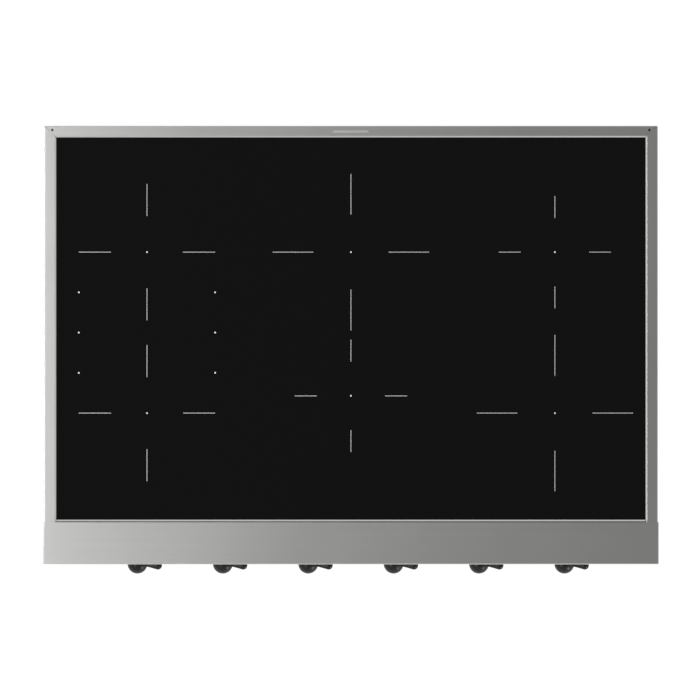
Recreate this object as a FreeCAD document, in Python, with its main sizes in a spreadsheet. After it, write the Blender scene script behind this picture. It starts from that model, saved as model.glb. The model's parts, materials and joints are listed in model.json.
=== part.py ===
import FreeCAD, Part
import math
import os
import Sketcher
from FreeCAD import Placement, Rotation, Vector

# A 36 inch class rangetop with six induction zones, in millimetres.
# +X is to the user's right, +Y to the rear, +Z up.
# The origin is the middle of the overall box, on the plane that the case stands on.

DRIVING_SIZES = [
    ("overall_height", 190.0),
    ("overall_depth", 663.8),
    ("ledge_width", 911.0),
    ("ledge_depth", 62.4),
    ("ledge_height", 30.0),
    ("ledge_return", 14.0),
    ("frame_width", 908.4),
    ("side_trim_width", 18.3),
    ("rear_trim_width", 17.4),
    ("rim_width", 2.2),
    ("rim_drop", 1.8),
    ("mitre_gap", 0.4),
    ("fold_radius", 1.6),
    ("sheet_gauge", 1.2),
    ("case_gauge", 1.0),
    ("seam", 0.2),
    ("glass_gauge", 4.0),
    ("glass_cover", 6.0),
    ("glass_front_cover", 0.9),
    ("front_rim_width", 2.5),
    ("rim_shelf_depth", 11.8),
    ("support_flange", 16.8),
    ("guard_hole_pitch", 883.0),
    ("guard_hole_inset", 6.4),
    ("guard_hole_radius", 1.8),
    ("name_bar_length", 52.0),
    ("name_bar_width", 3.4),
    ("name_bar_inset", 8.7),
    ("name_bar_gauge", 0.4),
    ("fascia_setback", 34.1),
    ("fascia_flange", 20.0),
    ("knob_pitch", 126.7),
    ("knob_drop", 78.0),
    ("knob_reach", 14.8),
    ("knob_dome_radius", 14.9),
    ("knob_hub_radius", 15.5),
    ("knob_skirt_radius", 19.5),
    ("knob_skirt_height", 5.0),
    ("knob_gap", 6.5),
    ("lever_tip_radius", 6.2),
    ("lever_tip_offset", 30.3),
    ("lever_tip_forward", 2.7),
    ("lever_neck_radius", 2.7),
    ("shaft_radius", 3.0),
    ("running_clearance", 0.06),
    ("bezel_radius", 28.0),
    ("bezel_bore", 17.5),
    ("bezel_height", 4.0),
    ("light_ring_inner", 21.5),
    ("light_ring_outer", 24.0),
    ("light_ring_depth", 1.4),
    ("light_ring_gap", 0.05),
    ("bush_radius", 4.5),
    ("bush_reach", 5.0),
    ("nut_radius", 7.0),
    ("nut_height", 2.5),
    ("encoder_width", 26.0),
    ("encoder_depth", 14.0),
    ("encoder_bore_depth", 11.2),
    ("shaft_run_in", 9.8),
    ("circuit_gauge", 1.6),
    ("pan_flange", 25.0),
    ("deck_drop", 22.5),
    ("deck_gauge", 1.5),
    ("deck_flange", 30.0),
    ("deck_front_gap", 4.8),
    ("deck_screw_drop", 9.0),
    ("screw_radius", 2.0),
    ("screw_head_radius", 3.6),
    ("screw_head_height", 1.2),
    ("screw_length", 8.0),
    ("zone_spread", 301.7),
    ("rear_zone_y", 144.8),
    ("front_zone_y", -93.3),
    ("middle_front_zone_y", -67.9),
    ("small_coil_radius", 71.0),
    ("medium_coil_radius", 88.8),
    ("large_coil_radius", 103.7),
    ("coil_bore", 20.0),
    ("coil_gauge", 5.0),
    ("carrier_gauge", 3.2),
    ("carrier_bore", 12.0),
    ("carrier_overhang", 4.0),
    ("ferrite_width", 10.0),
    ("ferrite_gauge", 4.2),
    ("ferrite_end_gap", 4.0),
    ("mica_gauge", 0.5),
    ("sensor_radius", 6.0),
    ("sensor_slack", 1.0),
    ("board_level", 60.0),
    ("board_width", 220.0),
    ("board_depth", 330.0),
    ("board_middle_y", 47.0),
    ("standoff_radius", 3.5),
    ("sink_width", 78.0),
    ("sink_length", 280.0),
    ("sink_base", 6.0),
    ("sink_offset", 36.7),
    ("fin_height", 36.0),
    ("fin_gauge", 2.0),
    ("fin_pitch", 9.5),
    ("fan_side", 120.0),
    ("fan_height", 32.0),
    ("fan_bore", 56.0),
    ("fan_hub_radius", 20.0),
    ("fan_blade_tip", 53.0),
    ("fan_blade_chord", 25.6),
    ("fan_blade_bite", 2.0),
    ("fan_spoke_bite", 2.0),
    ("fan_pin_radius", 2.0),
    ("fan_running_gap", 1.0),
    ("fan_offset_x", 150.0),
    ("fan_y", -190.0),
    ("leg_nut_pitch_x", 780.0),
    ("leg_nut_pitch_y", 480.0),
    ("leg_nut_y", 20.0),
    ("leg_nut_bore", 2.5),
    ("leg_nut_side", 11.0),
    ("leg_nut_height", 5.0),
    ("leg_hole_slack", 0.7),
    ("conduit_radius", 14.3),
    ("conduit_clearance_radius", 17.2),
    ("conduit_plate_side", 45.8),
    ("conduit_x", 370.0),
    ("conduit_z", 42.0),
    ("vent_slot_width", 5.0),
    ("vent_slot_length", 44.0),
    ("vent_slot_pitch", 14.0),
    ("capacitor_radius", 16.0),
    ("capacitor_height", 42.0),
    ("capacitor_pitch", 60.0),
    ("capacitor_offset", 71.5),
    ("standoff_inset", 10.0),
    ("filter_board_width", 200.0),
    ("filter_board_depth", 70.0),
    ("terminal_depth", 25.0),
    ("terminal_height", 36.0),
]

ZONES = ["left_rear", "left_front", "centre_rear", "centre_front", "right_rear", "right_front"]
KNOBS = ["left_rear", "left_front", "centre_rear", "centre_front", "right_front", "right_rear"]
SIDE_SCREW_Y = (-200, 40, 280)
REAR_SCREW_X = (-400, -200, 0, 200, 410)
REAR_SLOT_COUNT = 26
FAN_SLOT_COUNT = 7
FERRITES_PER_COIL = 8
CAPACITORS_PER_BOARD = 4
FIN_COUNT = 9
BLADE_COUNT = 7
BLADE_ANGLE = 52
FULL_TURN = 360
HEXAGON_SIDES = 6
LONG_EDGE = 100
SHORTEST_END_EDGE = 10
OVERCUT = 1
ALONG_Z = Rotation()
ALONG_Y = Rotation(Vector(1, 0, 0), -90)
ALONG_X = Rotation(Vector(0, 1, 0), 90)

doc = FreeCAD.newDocument("InductionRangetop")
sheet = doc.addObject("Spreadsheet::Sheet", "Sizes")
sub_parts = []


class Size:
    """A length that carries its number and the spreadsheet expression behind it."""

    def __init__(self, number, text):
        self.number = float(number)
        self.text = text

    def __float__(self):
        return self.number

    def __neg__(self):
        return Size(-self.number, f"(-{self.text})")

    def __add__(self, other):
        return combine(self, "+", other)

    def __radd__(self, other):
        return combine(other, "+", self)

    def __sub__(self, other):
        return combine(self, "-", other)

    def __rsub__(self, other):
        return combine(other, "-", self)

    def __mul__(self, other):
        return combine(self, "*", other)

    def __rmul__(self, other):
        return combine(other, "*", self)

    def __truediv__(self, other):
        return combine(self, "/", other)


def combine(left, sign, right):
    """Joins two lengths or numbers into one Size."""
    a, b = float(left), float(right)
    number = {"+": a + b, "-": a - b, "*": a * b, "/": a / b if b else 0.0}[sign]
    return Size(number, f"({expression_of(left)} {sign} {expression_of(right)})")


def expression_of(length):
    """The text that a property is bound to."""
    return length.text if isinstance(length, Size) else f"({float(length)})"


def fill_sheet():
    """Writes the driving sizes into the spreadsheet and returns them by name."""
    sizes = {}
    for row, (alias, number) in enumerate(DRIVING_SIZES, start=1):
        sheet.set(f"A{row}", alias)
        sheet.set(f"B{row}", str(number))
        sheet.setAlias(f"B{row}", alias)
    doc.recompute()
    for alias, _ in DRIVING_SIZES:
        sizes[alias] = Size(sheet.get(alias), f"Sizes.{alias}")
    return sizes


def bind(item, prop, length):
    """Sets a property and, when the length comes from the sheet, ties it to the sheet."""
    if isinstance(length, Size):
        item.setExpression(prop, length.text)
    else:
        setattr(item, prop, length)


def place(item, x, y, z, rotation=ALONG_Z):
    """Gives an object its Placement, with each coordinate tied to the sheet."""
    item.Placement = Placement(Vector(float(x), float(y), float(z)), rotation)
    for axis, length in (("x", x), ("y", y), ("z", z)):
        if isinstance(length, Size):
            item.setExpression(f"Placement.Base.{axis}", length.text)


def keep(item, label):
    """Names a finished sub-part and lists it for export."""
    item.Label = label
    sub_parts.append(item)
    return item


# ---------------------------------------------------------------- primitives and booleans


def box(x_span, y_span, z_span, name="Block"):
    """A block between two places on each axis."""
    item = doc.addObject("Part::Box", name)
    for prop, span in (("Length", x_span), ("Width", y_span), ("Height", z_span)):
        bind(item, prop, span[1] - span[0])
    place(item, x_span[0], y_span[0], z_span[0])
    return item


def cylinder(x, y, z, radius, length, rotation=ALONG_Z, name="Round"):
    """A round bar from a point, along the direction that the rotation gives."""
    item = doc.addObject("Part::Cylinder", name)
    bind(item, "Radius", radius)
    bind(item, "Height", length)
    place(item, x, y, z, rotation)
    return item


def cut(base, tools, name="Cut"):
    """The base with every tool taken away."""
    item = doc.addObject("Part::Cut", name)
    item.Base = base
    item.Tool = tools[0] if len(tools) == 1 else fuse(tools)
    return item


def fuse(shapes, name="Joined"):
    """Several shapes as one."""
    item = doc.addObject("Part::MultiFuse", name)
    item.Shapes = shapes
    return item


def group(shapes, name="Group"):
    """Like pieces kept as separate solids of one sub-part."""
    item = doc.addObject("Part::Compound", name)
    item.Links = shapes
    return item


def ring(x, y, z, outer, inner, length, rotation=ALONG_Z):
    """A flat ring or a bush."""
    return cut(
        cylinder(x, y, z, outer, length, rotation),
        [cylinder(x, y, z, inner, length, rotation)],
    )


# ---------------------------------------------------------------- sketched features


def new_body(name, x, y, z):
    """An empty PartDesign body at its place in the object."""
    body = doc.addObject("PartDesign::Body", name)
    place(body, x, y, z)
    return body


def new_sketch(body, role):
    """An empty sketch on one of the body's origin planes."""
    plane = next(p for p in body.Origin.OriginFeatures if p.Role == role)
    sketch = body.newObject("Sketcher::SketchObject", "Sketch")
    sketch.AttachmentSupport = [(plane, "")]
    sketch.MapMode = "FlatFace"
    return sketch


def pin_point(sketch, edge, end, point):
    """Ties one end of a sketch edge to the sketch's origin, by lengths from the sheet."""
    for kind, length in (("DistanceX", point[0]), ("DistanceY", point[1])):
        index = sketch.addConstraint(
            Sketcher.Constraint(kind, -1, 1, edge, end, float(length))
        )
        if isinstance(length, Size):
            sketch.setExpression(f"Constraints[{index}]", length.text)


def draw_outline(sketch, points, closed=True):
    """Straight edges through the points, back to the first one if the outline is closed."""
    first = sketch.GeometryCount
    corners = [Vector(float(x), float(y), 0) for x, y in points]
    ends = corners[1:] + corners[:1] if closed else corners[1:]
    for start, end in zip(corners, ends):
        sketch.addGeometry(Part.LineSegment(start, end))
    for number, point in enumerate(points[: len(ends)]):
        edge = first + number
        if closed or number:
            previous = first + (number - 1) % len(points)
            sketch.addConstraint(Sketcher.Constraint("Coincident", previous, 2, edge, 1))
        pin_point(sketch, edge, 1, point)


def close_with_nose(sketch, centre_y, radius):
    """Joins the two ends of an open outline with a quarter round that meets the sketch's Y axis."""
    last_line = sketch.GeometryCount - 1
    centre = Vector(0, float(centre_y), 0)
    circle = Part.Circle(centre, Vector(0, 0, 1), float(radius))
    arc = sketch.addGeometry(Part.ArcOfCircle(circle, -math.pi / 2, 0))
    sketch.addConstraint(Sketcher.Constraint("Coincident", arc, 1, 0, 1))
    sketch.addConstraint(Sketcher.Constraint("Coincident", arc, 2, last_line, 2))
    sketch.addConstraint(Sketcher.Constraint("Horizontal", arc, 3, arc, 2))
    pin_point(sketch, arc, 3, (0, centre_y))


def draw_circle(sketch, x, y, radius):
    """A circle whose centre and radius are tied to the sheet."""
    edge = sketch.addGeometry(Part.Circle(Vector(float(x), float(y), 0), Vector(0, 0, 1), float(radius)))
    pin_point(sketch, edge, 3, (x, y))
    index = sketch.addConstraint(Sketcher.Constraint("Radius", edge, float(radius)))
    if isinstance(radius, Size):
        sketch.setExpression(f"Constraints[{index}]", radius.text)


def rectangle(x_span, y_span):
    """The four corners of a rectangle."""
    return [
        (x_span[0], y_span[0]),
        (x_span[1], y_span[0]),
        (x_span[1], y_span[1]),
        (x_span[0], y_span[1]),
    ]


def add_pad(body, sketch, length, midplane=False, back=False):
    """Extrudes a sketch into solid material."""
    pad = body.newObject("PartDesign::Pad", "Pad")
    pad.Profile = sketch
    bind(pad, "Length", length)
    pad.Midplane = midplane
    pad.Reversed = back
    return pad


def add_pocket(body, sketch, length=None):
    """Cuts a sketch up from its plane, or right through both ways when no length is given."""
    doc.recompute()
    before = body.Shape.Volume
    pocket = body.newObject("PartDesign::Pocket", "Pocket")
    pocket.Profile = sketch
    if length is None:
        pocket.Type = 1
        pocket.Midplane = True
    else:
        bind(pocket, "Length", length)
        pocket.Reversed = True
    doc.recompute()
    if not pocket.Shape.Volume < before:
        raise RuntimeError(f"the pocket in {body.Name} cuts nothing")
    return pocket


def add_pattern(body, feature, count, pitch, axis_role="X_Axis"):
    """Repeats a feature in a straight row."""
    pattern = body.newObject("PartDesign::LinearPattern", "Pattern")
    pattern.Originals = [feature]
    axis = next(a for a in body.Origin.OriginFeatures if a.Role == axis_role)
    pattern.Direction = (axis, [""])
    pattern.Occurrences = count
    bind(pattern, "Length", (count - 1) * pitch)
    body.Tip = pattern
    return pattern


def add_fillet(body, radius, is_fold):
    """Rounds every edge for which is_fold(edge's middle, edge's direction) is true."""
    doc.recompute()
    base = body.Tip
    names = []
    for number, edge in enumerate(base.Shape.Edges, start=1):
        middle = edge.CenterOfMass
        run = edge.Vertexes[-1].Point - edge.Vertexes[0].Point
        if is_fold(middle, run):
            names.append(f"Edge{number}")
    if not names:
        raise RuntimeError(f"no fold was found in {body.Name}")
    fillet = body.newObject("PartDesign::Fillet", "Fold")
    fillet.Base = (base, names)
    bind(fillet, "Radius", radius)
    return fillet


def near(a, b):
    """True where two lengths agree to a hundredth of a millimetre."""
    return abs(float(a) - float(b)) < 0.01


# ---------------------------------------------------------------- sizes worked out from the sheet

sizes = fill_sheet()
rear_y = sizes["overall_depth"] / 2
ledge_front_y = sizes["knob_reach"] - rear_y
ledge_rear_y = ledge_front_y + sizes["ledge_depth"]
ledge_bottom_z = sizes["overall_height"] - sizes["ledge_height"]
fascia_y = ledge_front_y + sizes["fascia_setback"]
fascia_back_y = fascia_y + sizes["sheet_gauge"]
half_frame = sizes["frame_width"] / 2
wall_x = half_frame - sizes["sheet_gauge"] - sizes["seam"]
wall_inner_x = wall_x - sizes["case_gauge"]
wall_rear_y = rear_y - sizes["sheet_gauge"] - sizes["seam"]
wall_front_y = fascia_back_y + sizes["seam"]
pan_x = wall_inner_x - sizes["seam"]
pan_rear_y = wall_rear_y - sizes["case_gauge"] - sizes["seam"]
trim_top_z = sizes["overall_height"] - sizes["sheet_gauge"] - sizes["seam"]
glass_top_z = trim_top_z - sizes["rim_drop"] - sizes["seam"]
glass_bottom_z = glass_top_z - sizes["glass_gauge"]
shelf_top_z = glass_bottom_z - sizes["sheet_gauge"] - sizes["seam"]
window_x = half_frame - sizes["side_trim_width"]
window_rear_y = rear_y - sizes["rear_trim_width"]
window_front_y = ledge_rear_y + sizes["sheet_gauge"] + sizes["front_rim_width"]
glass_x = window_x + sizes["glass_cover"]
glass_rear_y = window_rear_y + sizes["glass_cover"]
glass_front_y = window_front_y - sizes["glass_front_cover"]
knob_z = sizes["overall_height"] - sizes["knob_drop"]
knob_back_y = fascia_y - sizes["knob_gap"]
deck_top_z = sizes["overall_height"] - sizes["deck_drop"]
deck_rear_y = pan_rear_y
deck_front_y = ledge_rear_y + sizes["deck_front_gap"]
deck_flange_z = deck_top_z - sizes["deck_flange"]
screw_hole = sizes["screw_radius"] + sizes["running_clearance"]
pan_screw_z = sizes["pan_flange"] / 2
deck_screw_z = ledge_bottom_z - sizes["deck_screw_drop"]
SCREW_ROWS = (pan_screw_z, deck_screw_z)
fascia_screw_z = ledge_bottom_z + sizes["ledge_height"] / 2


def knob_x(number):
    """Where knob 0 to 5 stands, counted from the left."""
    return (number - (len(KNOBS) - 1) / 2) * sizes["knob_pitch"]


def zone(name):
    """The middle and the coil radius of a cooking zone."""
    places = {
        "left_rear": (-sizes["zone_spread"], sizes["rear_zone_y"], sizes["medium_coil_radius"]),
        "left_front": (-sizes["zone_spread"], sizes["front_zone_y"], sizes["medium_coil_radius"]),
        "centre_rear": (0, sizes["rear_zone_y"], sizes["large_coil_radius"]),
        "centre_front": (0, sizes["middle_front_zone_y"], sizes["small_coil_radius"]),
        "right_rear": (sizes["zone_spread"], sizes["rear_zone_y"], sizes["small_coil_radius"]),
        "right_front": (sizes["zone_spread"], sizes["front_zone_y"], sizes["large_coil_radius"]),
    }
    return places[name]


# ---------------------------------------------------------------- glass, trims and front ledge


def make_glass():
    """The ceramic glass plate, let in under the trims."""
    body = new_body("GlassPanel", 0, 0, glass_bottom_z)
    sketch = new_sketch(body, "XY_Plane")
    draw_outline(sketch, rectangle((-glass_x, glass_x), (glass_front_y, glass_rear_y)))
    add_pad(body, sketch, sizes["glass_gauge"])
    keep(body, "glass_panel")


def make_glass_seal():
    """The rubber strip that the plate is bedded on."""
    inset, width = sizes["case_gauge"], sizes["rim_width"] * 2
    z_span = (shelf_top_z + sizes["seam"] / 2, glass_bottom_z - sizes["seam"] / 2)
    outer = box(
        (-glass_x + inset, glass_x - inset),
        (glass_front_y + inset, glass_rear_y - inset),
        z_span,
    )
    inner = box(
        (-glass_x + inset + width, glass_x - inset - width),
        (glass_front_y + inset + width, glass_rear_y - inset - width),
        z_span,
    )
    keep(cut(outer, [inner], "GlassSeal"), "glass_seal")


def trim_section(width, inward):
    """A folded sheet section: outer skirt, flat top and the bevelled rim that meets the glass."""
    gauge, rim = sizes["sheet_gauge"], sizes["rim_width"]
    rim_z = trim_top_z - sizes["rim_drop"]
    return [
        (0, ledge_bottom_z),
        (0, trim_top_z),
        (inward * (width - rim), trim_top_z),
        (inward * width, rim_z),
        (inward * (width - gauge), rim_z),
        (inward * (width - rim - gauge / 2), trim_top_z - gauge),
        (inward * gauge, trim_top_z - gauge),
        (inward * gauge, ledge_bottom_z),
    ]


def fold_trim(body, along):
    """Rounds the trim's fold, outside and inside."""
    gauge = sizes["sheet_gauge"]

    def is_fold(level, offset):
        return lambda middle, run: (
            abs(getattr(run, along)) > LONG_EDGE
            and near(middle.z, level)
            and near(abs(middle.x if along == "y" else middle.y), offset)
        )

    add_fillet(body, sizes["fold_radius"], is_fold(trim_top_z, 0))
    add_fillet(body, sizes["fold_radius"] - gauge, is_fold(trim_top_z - gauge, gauge))


def make_side_trim(label, side):
    """A side trim, mitred at the rear and tucked under the ledge at the front."""
    body = new_body("SideTrim", side * half_frame, rear_y, 0)
    sketch = new_sketch(body, "XZ_Plane")
    draw_outline(sketch, trim_section(sizes["side_trim_width"], -side))
    add_pad(body, sketch, rear_y - ledge_rear_y + sizes["fascia_flange"])
    fold_trim(body, "y")
    mitre = new_sketch(body, "XY_Plane")
    inner = -side * sizes["side_trim_width"]
    draw_outline(mitre, [(0, 0), (inner, -sizes["rear_trim_width"]), (inner, 0)])
    add_pocket(body, mitre)
    keep(body, label)


def make_rear_trim():
    """The rear trim, mitred at both ends, with a screw hole for a backguard near each end."""
    body = new_body("RearTrim", 0, rear_y, 0)
    sketch = new_sketch(body, "YZ_Plane")
    draw_outline(sketch, trim_section(sizes["rear_trim_width"], -1))
    add_pad(body, sketch, sizes["frame_width"], midplane=True)
    fold_trim(body, "x")
    gap = sizes["mitre_gap"]
    for side in (-1, 1):
        mitre = new_sketch(body, "XY_Plane")
        draw_outline(
            mitre,
            [
                (side * (half_frame - gap), 0),
                (side * (half_frame + OVERCUT), 0),
                (side * (half_frame + OVERCUT), -sizes["rear_trim_width"]),
                (side * (window_x - gap), -sizes["rear_trim_width"]),
            ],
        )
        add_pocket(body, mitre)
    holes = new_sketch(body, "XY_Plane")
    for side in (-1, 1):
        draw_circle(
            holes,
            side * sizes["guard_hole_pitch"] / 2,
            -sizes["guard_hole_inset"],
            sizes["guard_hole_radius"],
        )
    add_pocket(body, holes)
    keep(body, "rear_trim")


def make_name_bar():
    """A blank bar, bonded to the middle of the rear trim."""
    half_length, half_width = sizes["name_bar_length"] / 2, sizes["name_bar_width"] / 2
    middle_y = rear_y - sizes["name_bar_inset"]
    bar = box(
        (-half_length, half_length),
        (middle_y - half_width, middle_y + half_width),
        (trim_top_z, trim_top_z + sizes["name_bar_gauge"]),
        "NameBar",
    )
    keep(bar, "name_bar")


def make_front_glass_rim():
    """The channel round the front edge of the glass: bevelled rim, web and shelf."""
    gauge, width = sizes["sheet_gauge"], sizes["front_rim_width"]
    body = new_body("FrontGlassRim", 0, window_front_y, 0)
    sketch = new_sketch(body, "YZ_Plane")
    rim_z = trim_top_z - sizes["rim_drop"]
    shelf_y = sizes["rim_shelf_depth"]
    draw_outline(
        sketch,
        [
            (0, rim_z),
            (-width, trim_top_z),
            (-width, shelf_top_z - gauge),
            (shelf_y, shelf_top_z - gauge),
            (shelf_y, shelf_top_z),
            (gauge - width, shelf_top_z),
            (gauge - width, rim_z),
        ],
    )
    add_pad(body, sketch, 2 * (window_x - sizes["seam"]), midplane=True)
    keep(body, "front_glass_rim")


def make_front_ledge():
    """The deep ledge over the knobs: a sheet folded down at the front and both ends."""
    body = new_body("FrontLedge", 0, ledge_rear_y, ledge_bottom_z)
    half_width, depth = sizes["ledge_width"] / 2, sizes["ledge_depth"]
    height = sizes["ledge_height"]
    sketch = new_sketch(body, "XY_Plane")
    draw_outline(sketch, rectangle((-half_width, half_width), (-depth, 0)))
    add_pad(body, sketch, height)

    def is_outer_fold(middle, run):
        along_front = abs(run.x) > LONG_EDGE and near(middle.y, -depth)
        along_end = abs(run.y) > SHORTEST_END_EDGE and near(middle.z, height)
        return along_front or along_end

    add_fillet(body, sizes["fold_radius"], is_outer_fold)
    doc.recompute()
    solid = body.Tip
    open_faces = [
        f"Face{number}"
        for number, face in enumerate(solid.Shape.Faces, start=1)
        if near(face.CenterOfMass.y, 0)
    ]
    shell = body.newObject("PartDesign::Thickness", "Sheet")
    shell.Base = (solid, open_faces)
    shell.Join = 0
    shell.Reversed = True
    bind(shell, "Value", sizes["sheet_gauge"])
    floor = new_sketch(body, "XY_Plane")
    inner_x = half_width - sizes["sheet_gauge"]
    draw_outline(floor, rectangle((-inner_x, inner_x), (sizes["ledge_return"] - depth, OVERCUT)))
    add_pocket(body, floor, sizes["sheet_gauge"])
    keep(body, "front_ledge")


# ---------------------------------------------------------------- fascia and knobs


def make_fascia():
    """The upright front panel: six shaft holes, screw holes and a flange under the ledge."""
    gauge = sizes["sheet_gauge"]
    top_z = trim_top_z - gauge * 2
    body = new_body("Fascia", 0, fascia_back_y, 0)
    sketch = new_sketch(body, "YZ_Plane")
    draw_outline(
        sketch,
        [
            (-gauge, 0),
            (-gauge, top_z),
            (sizes["fascia_flange"], top_z),
            (sizes["fascia_flange"], top_z - gauge),
            (0, top_z - gauge),
            (0, 0),
        ],
    )
    add_pad(body, sketch, 2 * wall_x, midplane=True)
    holes = new_sketch(body, "XZ_Plane")
    for number in range(len(KNOBS)):
        draw_circle(holes, knob_x(number), knob_z, sizes["bush_radius"] + sizes["seam"])
    for number in range(len(KNOBS) - 1):
        draw_circle(holes, knob_x(number + 0.5), fascia_screw_z, screw_hole)
    add_pocket(body, holes)
    keep(body, "fascia")


def make_fascia_screws():
    """Screws that hold the fascia, out of sight behind the ledge's lip."""
    screws = [
        screw(knob_x(number + 0.5), fascia_y, fascia_screw_z, (0, 1))
        for number in range(len(KNOBS) - 1)
    ]
    keep(group(screws, "FasciaScrews"), "fascia_screws")


def make_knob_hub(number):
    """The turned part of a knob: skirt, slim hub and domed nose."""
    dome, hub = sizes["knob_dome_radius"], sizes["knob_hub_radius"]
    skirt, length = sizes["knob_skirt_radius"], knob_back_y + rear_y
    body = new_body("KnobHub", knob_x(number), knob_back_y, knob_z)
    sketch = new_sketch(body, "XY_Plane")
    skirt_y, dome_y = -sizes["knob_skirt_height"], dome - length
    outline = [(0, -length), (0, 0), (skirt, 0), (skirt, skirt_y), (hub, skirt_y * 2), (dome, dome_y)]
    draw_outline(sketch, outline, closed=False)
    close_with_nose(sketch, dome_y, dome)
    turned = body.newObject("PartDesign::Revolution", "Turned")
    turned.Profile = sketch
    turned.ReferenceAxis = (sketch, ["V_Axis"])
    turned.Angle = FULL_TURN
    return body


def make_knob_lever(number):
    """The teardrop lever: a slim neck that swells to a round tip, leaning a little forward."""
    x, tip_y = knob_x(number), ledge_front_y - sizes["lever_tip_forward"]
    root_y = ledge_front_y - sizes["lever_tip_forward"] / 2
    tip = doc.addObject("Part::Sphere", "LeverTip")
    bind(tip, "Radius", sizes["lever_tip_radius"])
    place(tip, x + sizes["lever_tip_offset"], tip_y, knob_z)
    root_x = sizes["knob_dome_radius"] / 2
    run = Vector(float(sizes["lever_tip_offset"] - root_x), float(tip_y - root_y), 0)
    neck = doc.addObject("Part::Cone", "LeverNeck")
    bind(neck, "Radius1", sizes["lever_neck_radius"] - 1)
    bind(neck, "Radius2", sizes["lever_tip_radius"] - sizes["seam"])
    neck.Height = run.Length
    place(
        neck,
        x + root_x,
        root_y,
        knob_z,
        Rotation(Vector(0, 0, 1), run),
    )
    return [neck, tip]


def make_knob(number, name):
    """One knob, bored from behind for its shaft."""
    bore_depth = sizes["knob_hub_radius"]
    solid = fuse([make_knob_hub(number)] + make_knob_lever(number), "KnobSolid")
    bore = cylinder(
        knob_x(number),
        knob_back_y - bore_depth,
        knob_z,
        sizes["shaft_radius"] + sizes["running_clearance"],
        bore_depth,
        ALONG_Y,
    )
    keep(cut(solid, [bore], "Knob"), f"knob_{name}")


def make_shaft(number, name):
    """The control shaft that the knob turns."""
    front_y = knob_back_y - sizes["knob_hub_radius"] + sizes["case_gauge"]
    back_y = fascia_back_y + sizes["shaft_run_in"]
    shaft = cylinder(
        knob_x(number), front_y, knob_z, sizes["shaft_radius"], back_y - front_y, ALONG_Y, "Shaft"
    )
    keep(shaft, f"control_shaft_{name}")


def make_bezels():
    """The raised rings round the knobs and the light rings let into them."""
    front_y = fascia_y - sizes["bezel_height"]
    gap, depth = sizes["light_ring_gap"], sizes["light_ring_depth"]
    bezels, rings = [], []
    for number in range(len(KNOBS)):
        x = knob_x(number)
        body = ring(
            x,
            front_y,
            knob_z,
            sizes["bezel_radius"],
            sizes["bezel_bore"],
            sizes["bezel_height"],
            ALONG_Y,
        )
        inner, outer = sizes["light_ring_inner"], sizes["light_ring_outer"]
        groove = ring(x, front_y, knob_z, outer + gap, inner - gap, depth + gap, ALONG_Y)
        bezels.append(cut(body, [groove]))
        rings.append(ring(x, front_y, knob_z, outer, inner, depth, ALONG_Y))
    keep(group(bezels, "KnobBezels"), "knob_bezels")
    keep(group(rings, "LightRings"), "light_rings")


def make_encoders():
    """The rotary encoders behind the fascia, each with a threaded bush and its nut."""
    encoders, nuts = [], []
    front_y = fascia_back_y + sizes["seam"]
    back_y = front_y + sizes["encoder_depth"]
    bush_front_y = fascia_y - sizes["bush_reach"]
    half = sizes["encoder_width"] / 2
    bore_length = sizes["encoder_bore_depth"] + front_y - bush_front_y
    for number in range(len(KNOBS)):
        x = knob_x(number)
        case = box((x - half, x + half), (front_y, back_y), (knob_z - half, knob_z + half))
        bush = cylinder(
            x, bush_front_y, knob_z, sizes["bush_radius"], front_y - bush_front_y + OVERCUT, ALONG_Y
        )
        bore = cylinder(
            x,
            bush_front_y,
            knob_z,
            sizes["shaft_radius"] + sizes["running_clearance"],
            bore_length,
            ALONG_Y,
        )
        encoders.append(cut(fuse([case, bush]), [bore]))
        nuts.append(hex_nut(x, fascia_y - sizes["nut_height"], knob_z))
    keep(group(encoders, "RotaryEncoders"), "rotary_encoders")
    keep(group(nuts, "EncoderNuts"), "encoder_nuts")


def hex_nut(x, y, z):
    """A thin hexagon nut on the encoder's bush."""
    prism = doc.addObject("Part::Prism", "Hexagon")
    prism.Polygon = HEXAGON_SIDES
    bind(prism, "Circumradius", sizes["nut_radius"])
    bind(prism, "Height", sizes["nut_height"])
    place(prism, x, y, z, ALONG_Y)
    hole_radius = sizes["bush_radius"] + sizes["running_clearance"]
    return cut(prism, [cylinder(x, y, z, hole_radius, sizes["nut_height"], ALONG_Y)])


def make_interface_board():
    """The long circuit board that the encoders sit on."""
    front_y = fascia_back_y + sizes["encoder_depth"] + 2 * sizes["seam"]
    half_length = len(KNOBS) / 2 * sizes["knob_pitch"]
    board = box(
        (-half_length, half_length),
        (front_y, front_y + sizes["circuit_gauge"]),
        (knob_z - sizes["encoder_width"], knob_z + sizes["encoder_width"]),
        "InterfaceBoard",
    )
    keep(board, "interface_board")


# ---------------------------------------------------------------- case


def screw(x, y, z, inward):
    """A flat pan-head screw whose head sits on a face; inward is its (x, y) direction."""
    along = ALONG_X if inward[0] else ALONG_Y
    sign = inward[0] + inward[1]
    rotation = along if sign > 0 else along.multiply(Rotation(Vector(1, 0, 0), 180))
    head_height = sizes["screw_head_height"]
    start_x, start_y = x - inward[0] * head_height, y - inward[1] * head_height
    head = cylinder(start_x, start_y, z, sizes["screw_head_radius"], head_height, rotation)
    shank = cylinder(
        start_x, start_y, z, sizes["screw_radius"], sizes["screw_length"] + head_height, rotation
    )
    return fuse([head, shank], "Screw")


def side_screw_holes(x):
    """Bars along X through every screw place of one side of the case."""
    reach = sizes["screw_length"]
    return [
        cylinder(x - reach, y, z, screw_hole, 2 * reach, ALONG_X)
        for z in SCREW_ROWS
        for y in SIDE_SCREW_Y
    ]


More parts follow.
